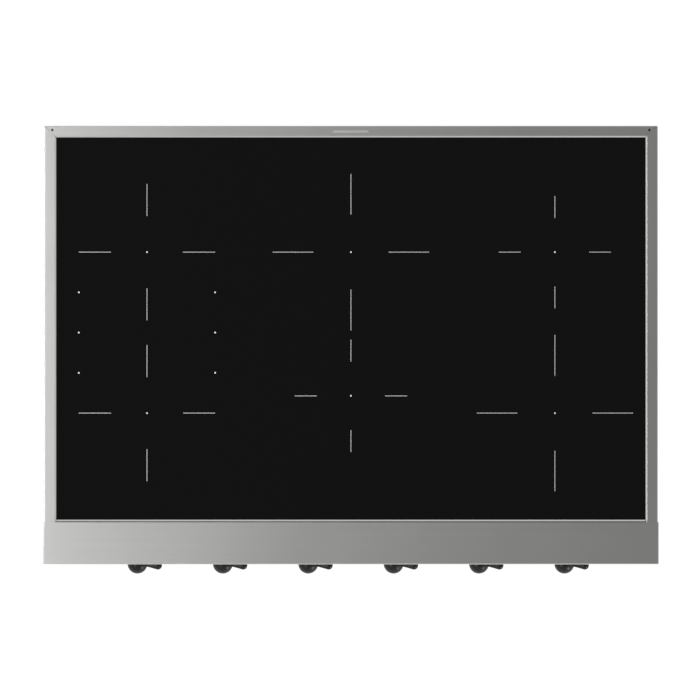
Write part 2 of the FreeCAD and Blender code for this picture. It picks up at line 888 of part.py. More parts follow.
def rear_screw_holes():
    """Bars along Y through every screw place of the rear of the case."""
    reach = sizes["screw_length"]
    return [
        cylinder(x, wall_rear_y - reach, z, screw_hole, 2 * reach, ALONG_Y)
        for z in SCREW_ROWS
        for x in REAR_SCREW_X
        if not (z is pan_screw_z and x == REAR_SCREW_X[-1])
    ]


def make_case_screws():
    """The screws along the foot of the case and along the coil deck."""
    for label, z in (("base_screws", pan_screw_z), ("deck_screws", deck_screw_z)):
        screws = []
        for y in SIDE_SCREW_Y:
            screws.append(screw(-wall_x, y, z, (1, 0)))
            screws.append(screw(wall_x, y, z, (-1, 0)))
        for x in REAR_SCREW_X:
            if not (z is pan_screw_z and x == REAR_SCREW_X[-1]):
                screws.append(screw(x, wall_rear_y, z, (0, -1)))
        keep(group(screws, "CaseScrews"), label)


def make_side_wall(label, side):
    """A side of the case, folded in at the top to carry the glass."""
    gauge = sizes["case_gauge"]
    body = new_body("SideWall", side * wall_x, pan_rear_y, 0)
    sketch = new_sketch(body, "XZ_Plane")
    inward = -side
    draw_outline(
        sketch,
        [
            (0, 0),
            (0, shelf_top_z),
            (inward * sizes["support_flange"], shelf_top_z),
            (inward * sizes["support_flange"], shelf_top_z - gauge),
            (inward * gauge, shelf_top_z - gauge),
            (inward * gauge, 0),
        ],
    )
    add_pad(body, sketch, pan_rear_y - wall_front_y)
    keep(cut(body, side_screw_holes(side * wall_x), "SideWallDrilled"), label)


def make_rear_wall():
    """The rear of the case: top flange, a row of vent slots and the conduit opening."""
    gauge = sizes["case_gauge"]
    body = new_body("RearWall", 0, wall_rear_y, 0)
    sketch = new_sketch(body, "YZ_Plane")
    draw_outline(
        sketch,
        [
            (0, 0),
            (0, shelf_top_z),
            (-sizes["support_flange"], shelf_top_z),
            (-sizes["support_flange"], shelf_top_z - gauge),
            (-gauge, shelf_top_z - gauge),
            (-gauge, 0),
        ],
    )
    add_pad(body, sketch, 2 * wall_x, midplane=True)
    corners = new_sketch(body, "XY_Plane")
    notch_x = wall_x - sizes["support_flange"] - sizes["seam"]
    for side in (-1, 1):
        draw_outline(
            corners,
            rectangle((side * notch_x, side * half_frame), (-sizes["support_flange"] - 1, -gauge)),
        )
    add_pocket(body, corners)
    slot = new_sketch(body, "XZ_Plane")
    first_x = -sizes["vent_slot_pitch"] * (REAR_SLOT_COUNT - 1) / 2
    half_width, middle_z = sizes["vent_slot_width"] / 2, sizes["overall_height"] / 2
    half_length = sizes["vent_slot_length"] / 2
    draw_outline(
        slot,
        rectangle(
            (first_x - half_width, first_x + half_width),
            (middle_z - half_length, middle_z + half_length),
        ),
    )
    pocket = add_pocket(body, slot)
    add_pattern(body, pocket, REAR_SLOT_COUNT, sizes["vent_slot_pitch"])
    conduit_hole = cylinder(
        sizes["conduit_x"],
        wall_rear_y - sizes["screw_length"],
        sizes["conduit_z"],
        sizes["conduit_clearance_radius"],
        2 * sizes["screw_length"],
        ALONG_Y,
    )
    keep(cut(body, rear_screw_holes() + [conduit_hole], "RearWallDrilled"), "rear_wall")


def make_conduit_plate():
    """The plate on the rear wall whose hole takes the supply conduit."""
    x, z, half = sizes["conduit_x"], sizes["conduit_z"], sizes["conduit_plate_side"] / 2
    y_span = (wall_rear_y, wall_rear_y + sizes["sheet_gauge"])
    plate = box((x - half, x + half), y_span, (z - half, z + half))
    hole = cylinder(x, y_span[0], z, sizes["conduit_radius"], sizes["sheet_gauge"], ALONG_Y)
    keep(cut(plate, [hole], "ConduitPlate"), "conduit_plate")


def make_base_pan():
    """The tray under everything: upturned edges, air slots under the fans and leg holes."""
    gauge = sizes["sheet_gauge"]
    body = new_body("BasePan", 0, 0, 0)
    sketch = new_sketch(body, "XY_Plane")
    draw_outline(sketch, rectangle((-pan_x, pan_x), (wall_front_y, pan_rear_y)))
    add_pad(body, sketch, sizes["pan_flange"])
    doc.recompute()
    solid = body.Tip
    top = [
        f"Face{number}"
        for number, face in enumerate(solid.Shape.Faces, start=1)
        if near(face.CenterOfMass.z, sizes["pan_flange"])
    ]
    shell = body.newObject("PartDesign::Thickness", "Sheet")
    shell.Base = (solid, top)
    shell.Join = 0
    shell.Reversed = True
    bind(shell, "Value", gauge)
    pitch = sizes["vent_slot_pitch"]
    for side in (-1, 1):
        slot = new_sketch(body, "XY_Plane")
        first_x = side * sizes["fan_offset_x"] - pitch * (FAN_SLOT_COUNT - 1) / 2
        half_width, half_length = sizes["vent_slot_width"] / 2, sizes["vent_slot_length"]
        draw_outline(
            slot,
            rectangle(
                (first_x - half_width, first_x + half_width),
                (sizes["fan_y"] - half_length, sizes["fan_y"] + half_length),
            ),
        )
        pocket = add_pocket(body, slot)
        add_pattern(body, pocket, FAN_SLOT_COUNT, pitch)
    holes = new_sketch(body, "XY_Plane")
    for x, y in leg_places():
        draw_circle(holes, x, y, sizes["leg_nut_bore"] + sizes["leg_hole_slack"])
    add_pocket(body, holes)
    drills = side_screw_holes(-wall_x) + side_screw_holes(wall_x) + rear_screw_holes()
    keep(cut(body, drills, "BasePanDrilled"), "base_pan")


def leg_places():
    """The four places where a levelling leg screws in."""
    return [
        (
            side_x * sizes["leg_nut_pitch_x"] / 2,
            sizes["leg_nut_y"] + side_y * sizes["leg_nut_pitch_y"] / 2,
        )
        for side_x in (-1, 1)
        for side_y in (-1, 1)
    ]


def make_leg_nuts():
    """Square weld nuts on the base pan, for levelling legs."""
    half, bottom_z = sizes["leg_nut_side"] / 2, sizes["sheet_gauge"]
    height = sizes["leg_nut_height"]
    nuts = []
    for x, y in leg_places():
        block = box((x - half, x + half), (y - half, y + half), (bottom_z, bottom_z + height))
        nuts.append(cut(block, [cylinder(x, y, bottom_z, sizes["leg_nut_bore"], height)]))
    keep(group(nuts, "LegNuts"), "leg_nuts")


def make_coil_deck():
    """The aluminium deck that carries the coils, folded down at the sides and the rear."""
    gauge = sizes["deck_gauge"]
    body = new_body("CoilDeck", 0, 0, deck_flange_z)
    sketch = new_sketch(body, "XY_Plane")
    draw_outline(sketch, rectangle((-pan_x, pan_x), (deck_front_y, deck_rear_y)))
    add_pad(body, sketch, sizes["deck_flange"])
    doc.recompute()
    solid = body.Tip
    open_faces = [
        f"Face{number}"
        for number, face in enumerate(solid.Shape.Faces, start=1)
        if near(face.CenterOfMass.z, 0) or near(face.CenterOfMass.y, deck_front_y)
    ]
    shell = body.newObject("PartDesign::Thickness", "Sheet")
    shell.Base = (solid, open_faces)
    shell.Join = 0
    shell.Reversed = True
    bind(shell, "Value", gauge)
    holes = new_sketch(body, "XY_Plane")
    for name in ZONES:
        x, y, _ = zone(name)
        draw_circle(holes, x, y, sizes["carrier_bore"])
    add_pocket(body, holes)
    drills = side_screw_holes(-wall_x) + side_screw_holes(wall_x) + rear_screw_holes()
    keep(cut(body, drills, "CoilDeckDrilled"), "coil_deck")


# ---------------------------------------------------------------- coils


def make_coils():
    """Each zone's winding, with its carrier, ferrite bars, mica sheet and temperature sensor."""
    carriers, ferrites, sheets, sensors = [], [], [], []
    seam = sizes["seam"]
    carrier_z = deck_top_z
    ferrite_z = carrier_z + sizes["carrier_gauge"]
    coil_z = ferrite_z + sizes["ferrite_gauge"]
    mica_z = coil_z + sizes["coil_gauge"]
    for name in ZONES:
        x, y, radius = zone(name)
        winding = ring(x, y, coil_z, radius, sizes["coil_bore"], sizes["coil_gauge"])
        keep(winding, f"coil_{name}")
        cover = radius + sizes["carrier_overhang"]
        carriers.append(
            ring(x, y, carrier_z, cover, sizes["carrier_bore"], sizes["carrier_gauge"])
        )
        sensor_hole = sizes["sensor_radius"] + sizes["sensor_slack"]
        sheets.append(ring(x, y, mica_z, cover, sensor_hole, sizes["mica_gauge"]))
        sensors.append(
            cylinder(x, y, deck_top_z, sizes["sensor_radius"], glass_bottom_z - deck_top_z - seam)
        )
        for number in range(FERRITES_PER_COIL):
            degrees = number * FULL_TURN / FERRITES_PER_COIL
            ferrites.append(ferrite_bar(x, y, ferrite_z, radius, degrees))
    keep(group(carriers, "CoilCarriers"), "coil_carriers")
    keep(group(ferrites, "FerriteBars"), "ferrite_bars")
    keep(group(sheets, "MicaSheets"), "mica_sheets")
    keep(group(sensors, "TemperatureSensors"), "temperature_sensors")


def ferrite_bar(x, y, z, radius, degrees):
    """A flat ferrite bar under the winding, pointing away from the middle of the coil."""
    turn = Rotation(Vector(0, 0, 1), degrees)
    start = turn.multVec(Vector(float(sizes["coil_bore"]), -float(sizes["ferrite_width"]) / 2, 0))
    bar = doc.addObject("Part::Box", "Ferrite")
    bind(bar, "Length", radius - sizes["coil_bore"] - sizes["ferrite_end_gap"])
    bind(bar, "Width", sizes["ferrite_width"])
    bind(bar, "Height", sizes["ferrite_gauge"])
    place(bar, x + start.x, y + start.y, z, turn)
    return bar


# ---------------------------------------------------------------- power electronics and cooling


def board_columns():
    """The three inverter modules: name and middle."""
    return [("left", -sizes["zone_spread"]), ("centre", 0), ("right", sizes["zone_spread"])]


def make_inverters():
    """Three inverter boards with their heat sinks, capacitors and standoffs."""
    standoffs, capacitors = [], []
    half_width, half_depth = sizes["board_width"] / 2, sizes["board_depth"] / 2
    level, middle_y = sizes["board_level"], sizes["board_middle_y"]
    board_top = level + sizes["circuit_gauge"]
    inset = sizes["standoff_inset"]
    for name, x in board_columns():
        board = box(
            (x - half_width, x + half_width),
            (middle_y - half_depth, middle_y + half_depth),
            (level, board_top),
            "InverterBoard",
        )
        keep(board, f"inverter_board_{name}")
        make_heat_sink(f"heat_sink_{name}", x - sizes["sink_offset"], middle_y, board_top)
        for side_x in (-1, 1):
            for side_y in (-1, 1):
                standoffs.append(
                    cylinder(
                        x + side_x * (half_width - inset),
                        middle_y + side_y * (half_depth - inset),
                        sizes["sheet_gauge"],
                        sizes["standoff_radius"],
                        level - sizes["sheet_gauge"],
                    )
                )
        for number in range(CAPACITORS_PER_BOARD):
            step = (number - (CAPACITORS_PER_BOARD - 1) / 2) * sizes["capacitor_pitch"]
            capacitors.append(
                cylinder(
                    x + sizes["capacitor_offset"],
                    middle_y + step,
                    board_top,
                    sizes["capacitor_radius"],
                    sizes["capacitor_height"],
                )
            )
    keep(group(standoffs, "BoardStandoffs"), "board_standoffs")
    keep(group(capacitors, "Capacitors"), "capacitors")


def make_heat_sink(label, x, y, z):
    """An extruded heat sink: a thick base with a row of upright fins."""
    body = new_body("HeatSink", x, y + sizes["sink_length"] / 2, z)
    half_width, length = sizes["sink_width"] / 2, sizes["sink_length"]
    base = new_sketch(body, "XZ_Plane")
    draw_outline(base, rectangle((-half_width, half_width), (0, sizes["sink_base"])))
    add_pad(body, base, length)
    fin = new_sketch(body, "XZ_Plane")
    draw_outline(
        fin,
        rectangle(
            (-half_width, sizes["fin_gauge"] - half_width),
            (0, sizes["sink_base"] + sizes["fin_height"]),
        ),
    )
    first = add_pad(body, fin, length)
    add_pattern(body, first, FIN_COUNT, sizes["fin_pitch"])
    keep(body, label)


def make_fan(name, x):
    """A square axial fan on the base pan: its frame, and the rotor that turns in it."""
    y, half, height = sizes["fan_y"], sizes["fan_side"] / 2, sizes["fan_height"]
    bottom = sizes["sheet_gauge"]
    web = sizes["sink_base"] / 2
    frame = cut(
        box((x - half, x + half), (y - half, y + half), (bottom, bottom + height)),
        [cylinder(x, y, bottom, sizes["fan_bore"], height)],
    )
    reach = half - sizes["fan_spoke_bite"]
    spokes = [
        box((x - reach, x + reach), (y - web, y + web), (bottom, bottom + web)),
        box((x - web, x + web), (y - reach, y + reach), (bottom, bottom + web)),
        cylinder(x, y, bottom, sizes["fan_hub_radius"], web),
    ]
    pin_radius, gap = sizes["fan_pin_radius"], sizes["fan_running_gap"]
    bore = cylinder(x, y, bottom, pin_radius + sizes["running_clearance"], web)
    keep(cut(fuse([frame] + spokes), [bore], "FanFrame"), f"fan_frame_{name}")
    hub_z = bottom + web + gap
    hub_height = height - web - 2 * gap
    rotor = [
        cylinder(x, y, hub_z, sizes["fan_hub_radius"], hub_height),
        cylinder(x, y, bottom + sizes["seam"], pin_radius, hub_z - bottom),
    ]
    for number in range(BLADE_COUNT):
        rotor.append(fan_blade(x, y, hub_z + hub_height / 2, number * FULL_TURN / BLADE_COUNT))
    keep(fuse(rotor, "FanRotor"), f"fan_rotor_{name}")


def fan_blade(x, y, z, degrees):
    """One flat fan blade, set at an angle to the air."""
    turn = Rotation(Vector(0, 0, 1), degrees).multiply(Rotation(Vector(1, 0, 0), BLADE_ANGLE))
    chord, gauge = sizes["fan_blade_chord"], sizes["fin_gauge"]
    root = float(sizes["fan_hub_radius"] - sizes["fan_blade_bite"])
    start = turn.multVec(Vector(root, -float(chord) / 2, -float(gauge) / 2))
    blade = doc.addObject("Part::Box", "Blade")
    bind(blade, "Length", sizes["fan_blade_tip"] - sizes["fan_hub_radius"])
    bind(blade, "Width", chord)
    bind(blade, "Height", gauge)
    place(blade, x + start.x, y + start.y, z + start.z, turn)
    return blade


def make_mains():
    """The mains filter board at the rear and the terminal block beside the conduit hole."""
    level, rear = sizes["board_level"], pan_rear_y - sizes["deck_flange"] / 2
    half_board = sizes["filter_board_width"] / 2
    filter_board = box(
        (-half_board, half_board),
        (rear - sizes["filter_board_depth"], rear),
        (level, level + sizes["circuit_gauge"]),
        "FilterBoard",
    )
    keep(filter_board, "mains_filter_board")
    x, z, half = sizes["conduit_x"], sizes["conduit_z"], sizes["conduit_radius"] * 2
    front_y, half_height = rear - sizes["filter_board_depth"], sizes["terminal_height"] / 2
    block = box(
        (x - half, x + half),
        (front_y, front_y + sizes["terminal_depth"]),
        (z - half_height, z + half_height),
        "TerminalBlock",
    )
    keep(block, "terminal_block")


# ---------------------------------------------------------------- build, check and export


def build():
    """Makes every sub-part."""
    make_glass()
    make_glass_seal()
    make_side_trim("left_trim", -1)
    make_side_trim("right_trim", 1)
    make_rear_trim()
    make_name_bar()
    make_front_glass_rim()
    make_front_ledge()
    make_fascia()
    make_fascia_screws()
    for number, name in enumerate(KNOBS):
        make_knob(number, name)
        make_shaft(number, name)
    make_bezels()
    make_encoders()
    make_interface_board()
    make_side_wall("left_side_wall", -1)
    make_side_wall("right_side_wall", 1)
    make_rear_wall()
    make_conduit_plate()
    make_base_pan()
    make_leg_nuts()
    make_coil_deck()
    make_case_screws()
    make_coils()
    make_inverters()
    make_fan("left", -sizes["fan_offset_x"])
    make_fan("right", sizes["fan_offset_x"])
    make_mains()


def check():
    """Stops if any object failed to compute or any sub-part is not a valid solid."""
    for item in doc.Objects:
        if {"Invalid", "Error"} & set(item.State):
            raise RuntimeError(f"{item.Label} ({item.Name}) did not compute")
    for item in sub_parts:
        if item.Shape.isNull() or not item.Shape.isValid() or not item.Shape.Solids:
            raise RuntimeError(f"{item.Label} has no valid shape")


def export():
    """Writes one STEP file for each sub-part."""
    os.makedirs("parts", exist_ok=True)
    for item in sub_parts:
        item.Shape.exportStep(f"parts/{item.Label}.step")
    print(f"{len(sub_parts)} sub-parts written")


build()
doc.recompute()
check()
export()
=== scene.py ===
"""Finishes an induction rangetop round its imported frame: glass, steel, knobs, case and stage."""

import json
import math

import bmesh
import bpy
from bpy.props import FloatProperty, FloatVectorProperty, IntProperty, PointerProperty
from mathutils import Matrix, Vector

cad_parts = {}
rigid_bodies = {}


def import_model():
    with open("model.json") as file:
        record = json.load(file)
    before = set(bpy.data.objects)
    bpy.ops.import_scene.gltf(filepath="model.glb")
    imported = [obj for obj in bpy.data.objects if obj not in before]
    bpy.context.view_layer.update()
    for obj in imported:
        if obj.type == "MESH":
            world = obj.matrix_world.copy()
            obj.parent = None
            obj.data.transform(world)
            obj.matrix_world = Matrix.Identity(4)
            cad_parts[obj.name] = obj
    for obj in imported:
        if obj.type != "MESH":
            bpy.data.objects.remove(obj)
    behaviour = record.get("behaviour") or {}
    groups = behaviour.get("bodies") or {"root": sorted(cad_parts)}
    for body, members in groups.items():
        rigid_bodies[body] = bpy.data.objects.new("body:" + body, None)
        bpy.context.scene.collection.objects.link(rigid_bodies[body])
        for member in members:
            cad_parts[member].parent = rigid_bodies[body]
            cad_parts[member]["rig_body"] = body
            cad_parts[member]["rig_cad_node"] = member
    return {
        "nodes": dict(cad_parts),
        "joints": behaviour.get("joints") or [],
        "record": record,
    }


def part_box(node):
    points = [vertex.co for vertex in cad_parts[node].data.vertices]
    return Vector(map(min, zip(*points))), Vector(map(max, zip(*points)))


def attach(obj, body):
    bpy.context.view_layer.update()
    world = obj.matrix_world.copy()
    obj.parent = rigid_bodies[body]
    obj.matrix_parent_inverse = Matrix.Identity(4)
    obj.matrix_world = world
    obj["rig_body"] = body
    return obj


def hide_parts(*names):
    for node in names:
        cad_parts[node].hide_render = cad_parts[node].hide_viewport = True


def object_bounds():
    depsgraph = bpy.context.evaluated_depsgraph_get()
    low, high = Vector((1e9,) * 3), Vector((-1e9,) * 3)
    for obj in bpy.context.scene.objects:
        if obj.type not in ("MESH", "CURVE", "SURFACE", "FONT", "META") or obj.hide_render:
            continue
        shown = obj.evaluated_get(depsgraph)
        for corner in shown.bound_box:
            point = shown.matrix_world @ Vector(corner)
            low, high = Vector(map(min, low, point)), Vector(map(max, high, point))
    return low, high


bl_info = {
    "name": "Induction Rangetop Finisher",
    "version": (1, 0, 0),
    "blender": (4, 5, 0),
    "location": "3D View > Sidebar > Rangetop",
    "description": "Builds the finished glass, steel, knobs and case of an induction rangetop",
    "category": "Add Mesh",
}

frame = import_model()
CAD_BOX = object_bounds()
NODES = frame["nodes"]
MM = 0.001
CASE = "case"
PRINT_FILM = 0.02 * MM  # thickness of every printed mark
SHARP_ANGLE = math.radians(35)  # angle between two faces from which their edge counts as sharp
FLAT_ANGLE = math.radians(0.5)  # angle between two triangles up to which they are one flat face
MERGE_DISTANCE = 0.002 * MM  # points of a new mesh this near are one point
NODE_MERGE_DISTANCE = 0.001 * MM  # points of a frame node this near are one point
ZONES = ("left_rear", "left_front", "centre_rear", "centre_front", "right_rear", "right_front")
KNOBS = ("left_rear", "left_front", "centre_rear", "centre_front", "right_front", "right_rear")
HINGES = {joint["name"]: Vector(joint["pos_m"]) for joint in frame["joints"]}
KNOB_TURN = math.radians(270)  # from off to full power


# ---------------------------------------------------------------- settings


class SteelSettings(bpy.types.PropertyGroup):
    """The brushed stainless steel of the trims, ledge and fascia."""

    colour: FloatVectorProperty(
        name="Colour",
        description="Colour of the bare steel",
        subtype="COLOR",
        size=3,
        min=0.0,
        max=1.0,
        default=(0.50, 0.50, 0.49),
    )
    smooth: FloatProperty(
        name="Finest Roughness",
        description="Roughness where the brushing is finest",
        subtype="FACTOR",
        min=0.05,
        max=1.0,
        default=0.335,
    )
    coarse: FloatProperty(
        name="Coarsest Roughness",
        description="Roughness where the brushing is coarsest",
        subtype="FACTOR",
        min=0.05,
        max=1.0,
        default=0.35,
    )
    grain: FloatProperty(
        name="Grain Depth",
        description="Depth of the brushed lines",
        unit="LENGTH",
        subtype="DISTANCE",
        min=0.0,
        default=0.000004,
        precision=6,
    )
    edge: FloatProperty(
        name="Edge Rounding",
        description="How far the cut edges of the sheet are rounded off",
        unit="LENGTH",
        subtype="DISTANCE",
        min=0.0,
        default=0.00018,
        precision=5,
    )


class GlassSettings(bpy.types.PropertyGroup):
    """The black glass plate and the marks printed on it."""

    colour: FloatVectorProperty(
        name="Glass Colour",
        description="Body colour of the black glass",
        subtype="COLOR",
        size=3,
        min=0.0,
        max=1.0,
        default=(0.0012, 0.0012, 0.0012),
    )
    edge: FloatProperty(
        name="Ground Edge",
        description="Width of the ground bevel round the plate",
        unit="LENGTH",
        subtype="DISTANCE",
        default=0.0006,
        precision=5,
    )
    dot_colour: FloatVectorProperty(
        name="Dot Colour",
        description="Colour of the printed dots",
        subtype="COLOR",
        size=3,
        min=0.0,
        max=1.0,
        default=(0.58, 0.58, 0.57),
    )
    line_colour: FloatVectorProperty(
        name="Line Colour",
        description="Colour of the printed lines",
        subtype="COLOR",
        size=3,
        min=0.0,
        max=1.0,
        default=(0.33, 0.33, 0.325),
    )
    line_width: FloatProperty(
        name="Line Width",
        description="Width of the printed zone lines",
        unit="LENGTH",
        subtype="DISTANCE",
        default=0.0010,
        precision=5,
    )
    dot_width: FloatProperty(
        name="Dot Width",
        description="Diameter of the printed dots",
        unit="LENGTH",
        subtype="DISTANCE",
        default=0.00245,
        precision=5,
    )
    clear_middle: FloatProperty(
        name="Clear Middle",
        description="Least distance that a zone's lines keep from its centre",
        unit="LENGTH",
        subtype="DISTANCE",
        default=0.040,
        precision=5,
    )
    clear_share: FloatProperty(
        name="Clear Share",
        description="Part of the winding's radius that is added to the clear middle",
        subtype="FACTOR",
        min=0.0,
        max=1.0,
        default=0.15,
    )
    overhang: FloatProperty(
        name="Mark Overhang",
        description="How far the lines reach past the winding under them",
        unit="LENGTH",
        subtype="DISTANCE",
        default=0.0120,
        precision=5,
    )


class KnobSettings(bpy.types.PropertyGroup):
    """The moulded knobs and the power marks round them."""

    colour: FloatVectorProperty(
        name="Knob Colour",
        description="Colour of the moulded knobs",
        subtype="COLOR",
        size=3,
        min=0.0,
        max=1.0,
        default=(0.0075, 0.0075, 0.0078),
    )
    roughness: FloatProperty(
        name="Knob Roughness",
        description="Mean roughness of the satin moulding",
        subtype="FACTOR",
        min=0.05,
        max=1.0,
        default=0.34,
    )
    dome_radius: FloatProperty(
        name="Dome Radius",
        description="Radius of the knob's domed nose",
        unit="LENGTH",
        subtype="DISTANCE",
        default=0.0149,
        precision=5,
    )
    hub_radius: FloatProperty(
        name="Hub Radius",
        description="Radius of the knob just in front of its skirt",
        unit="LENGTH",
        subtype="DISTANCE",
        default=0.0155,
        precision=5,
    )
    lever_radius: FloatProperty(
        name="Lever Tip Radius",
        description="Radius of the lever's round tip",
        unit="LENGTH",
        subtype="DISTANCE",
        default=0.0062,
        precision=5,
    )
    neck_radius: FloatProperty(
        name="Lever Neck Radius",
        description="Radius of the lever where it leaves the dome",
        unit="LENGTH",
        subtype="DISTANCE",
        default=0.0027,
        precision=5,
    )
    ticks: IntProperty(
        name="Power Marks",
        description="Number of printed power marks round each knob",
        min=2,
        max=20,
        default=10,
    )


class StageSettings(bpy.types.PropertyGroup):
    """The floor, the light tent, the lamps and the camera."""

    floor_colour: FloatVectorProperty(
        name="Floor Colour",
        description="Colour of the plain floor",
        subtype="COLOR",
        size=3,
        min=0.0,
        max=1.0,
        default=(0.15, 0.15, 0.15),
    )
    floor_glow: FloatProperty(
        name="Floor Glow",
        description="Light that comes up through the floor, as on a light table",
        min=0.0,
        default=0.95,
    )
    tent: FloatProperty(
        name="Tent Light",
        description="Brightness of the white tent round the rangetop",
        min=0.0,
        default=1.0,
    )
    tent_edge: FloatProperty(
        name="Tent Edge",
        description="Angle from straight up, in degrees, down to which the tent fades",
        default=48.0,
    )
    opening_edge: FloatProperty(
        name="Opening Edge",
        description="Angle from straight up, in degrees, within which the tent is fully open",
        default=14.0,
    )
    opening: FloatProperty(
        name="Opening Light",
        description="Brightness of the tent's dark opening, straight overhead",
        min=0.0,
        default=0.12,
    )
    key_place: FloatVectorProperty(
        name="Key Place",
        description="How far the long lamp hangs outside the left side, before the middle and over the top",
        unit="LENGTH",
        subtype="TRANSLATION",
        size=3,
        default=(1.0, 0.0, 2.4),
    )
    key_size: FloatVectorProperty(
        name="Key Size",
        description="Length and width of the long lamp",
        unit="LENGTH",
        size=2,
        default=(3.4, 0.8),
    )
    key_power: FloatProperty(
        name="Key Power",
        description="Power of the long soft lamp on the left",
        unit="POWER",
        default=78.0,
    )
    accent_place: FloatVectorProperty(
        name="Accent Place",
        description="How far the small lamp stands outside the right side, in front and over the floor",
        unit="LENGTH",
        subtype="TRANSLATION",
        size=3,
        default=(1.6, 2.0, 0.75),
    )
    accent_size: FloatProperty(
        name="Accent Size",
        description="Side of the small square lamp",
        unit="LENGTH",
        subtype="DISTANCE",
        default=0.6,
    )
    accent_power: FloatProperty(
        name="Accent Power",
        description="Power of the small lamp that puts a highlight on the knobs",
        unit="POWER",
        default=30.0,
    )
    camera_left: FloatProperty(
        name="Camera Left",
        description="How far the camera stands left of the middle",
        unit="LENGTH",
        subtype="DISTANCE",
        default=0.00135,
        precision=5,
    )
    camera_height: FloatProperty(
        name="Camera Height",
        description="Height of the camera over the floor",
        unit="LENGTH",
        subtype="DISTANCE",
        default=24.0,
    )
    picture_width: FloatProperty(
        name="Picture Width",
        description="Width of the picture, as a multiple of the rangetop's width",
        min=1.0,
        default=1.1365,
    )


SETTINGS = {
    "rangetop_steel": SteelSettings,
    "rangetop_glass": GlassSettings,
    "rangetop_knob": KnobSettings,
    "rangetop_stage": StageSettings,
}


# ---------------------------------------------------------------- mesh helpers


def take(piece):
    """Makes a piece the only selected and the active object, in object mode."""
    if bpy.context.object and bpy.context.object.mode != "OBJECT":
        bpy.ops.object.mode_set(mode="OBJECT")
    bpy.ops.object.select_all(action="DESELECT")
    piece.select_set(True)
    bpy.context.view_layer.objects.active = piece


def clear_selection():
    """Leaves nothing selected, in object mode."""
    if bpy.context.object and bpy.context.object.mode != "OBJECT":
        bpy.ops.object.mode_set(mode="OBJECT")
    bpy.ops.object.select_all(action="DESELECT")


def settle(piece):
    """Puts a piece's place, turn and scale into its mesh."""
    take(piece)
    bpy.ops.object.transform_apply(location=True, rotation=True, scale=True)


def apply_all(piece):
    """Applies every modifier of a piece."""
    take(piece)
    for modifier in list(piece.modifiers):
        bpy.ops.object.modifier_apply(modifier=modifier.name)


def mend(piece):
    """Joins doubled points and turns every face outwards."""
    take(piece)
    bpy.ops.object.mode_set(mode="EDIT")
    bpy.ops.mesh.select_all(action="SELECT")
    bpy.ops.mesh.remove_doubles(threshold=MERGE_DISTANCE)
    bpy.ops.mesh.normals_make_consistent(inside=False)
    bpy.ops.object.mode_set(mode="OBJECT")


def round_edges(piece, width, segments=2):
    """Rounds the sharp edges of a piece and shades the rest smooth."""
    bevel = piece.modifiers.new("Rounded edges", "BEVEL")
    bevel.width = width
    bevel.segments = segments
    bevel.limit_method = "ANGLE"
    bevel.angle_limit = SHARP_ANGLE
    apply_all(piece)
    even_shading(piece)


def even_shading(piece):
    """Shades a piece smooth across its soft edges, and keeps its flat faces flat."""
    take(piece)
    bpy.ops.object.shade_smooth_by_angle(angle=SHARP_ANGLE)
    weighted = piece.modifiers.new("Flat faces stay flat", "WEIGHTED_NORMAL")
    weighted.keep_sharp = True
    apply_all(piece)


def join(pieces, name):
    """Joins several pieces into one object."""
    take(pieces[0])
    for piece in pieces[1:]:
        piece.select_set(True)
    if len(pieces) > 1:
        bpy.ops.object.join()
    joined = bpy.context.view_layer.objects.active
    joined.name = name
    joined.data.name = name
    return joined


def placed_copy(piece, place):
    """A copy of a piece with its own mesh, moved and turned by a matrix."""
    copy = piece.copy()
    copy.data = piece.data.copy()
    copy.data.transform(place)
    bpy.context.scene.collection.objects.link(copy)
    return copy


def frame_copy(node, name):
    """A loose copy of a frame node, with its flat faces made whole, ready to be finished."""
    source = NODES[node]
    copy = source.copy()
    copy.data = source.data.copy()
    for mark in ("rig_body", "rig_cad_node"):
        if mark in copy:
            del copy[mark]
    copy.parent = None
    copy.name = name
    copy.data.name = name
    bpy.context.scene.collection.objects.link(copy)
    take(copy)
    if copy.data.has_custom_normals:
        bpy.ops.mesh.customdata_custom_splitnormals_clear()
    bpy.ops.object.mode_set(mode="EDIT")
    bpy.ops.mesh.select_all(action="SELECT")
    bpy.ops.mesh.remove_doubles(threshold=NODE_MERGE_DISTANCE)
    bpy.ops.mesh.dissolve_limited(angle_limit=FLAT_ANGLE)
    bpy.ops.object.mode_set(mode="OBJECT")
    return copy


def draw_profile(points):
    """An open line through the points, drawn by extruding a single vertex."""
    clear_selection()
    bpy.ops.mesh.primitive_plane_add(size=MM, location=points[0])
    piece = bpy.context.object
    bpy.ops.object.mode_set(mode="EDIT")
    bpy.ops.mesh.merge(type="CENTER")
    for start, end in zip(points, points[1:]):
        bpy.ops.mesh.extrude_region_move(TRANSFORM_OT_translate={"value": end - start})
    bpy.ops.object.mode_set(mode="OBJECT")
    settle(piece)
    return piece


def lathe(points, centre, axis, steps, closed=False):
    """Spins a profile a full turn round an axis. A closed profile gives a ring."""
    piece = draw_profile(points + points[:1] if closed else points)
    take(piece)
    bpy.ops.object.mode_set(mode="EDIT")
    bpy.ops.mesh.select_all(action="SELECT")
    bpy.ops.mesh.remove_doubles(threshold=MERGE_DISTANCE)
    bpy.ops.mesh.select_all(action="SELECT")
    bpy.ops.mesh.spin(steps=steps, angle=math.tau, center=centre, axis=axis)
    bpy.ops.object.mode_set(mode="OBJECT")
    mend(piece)
    return piece


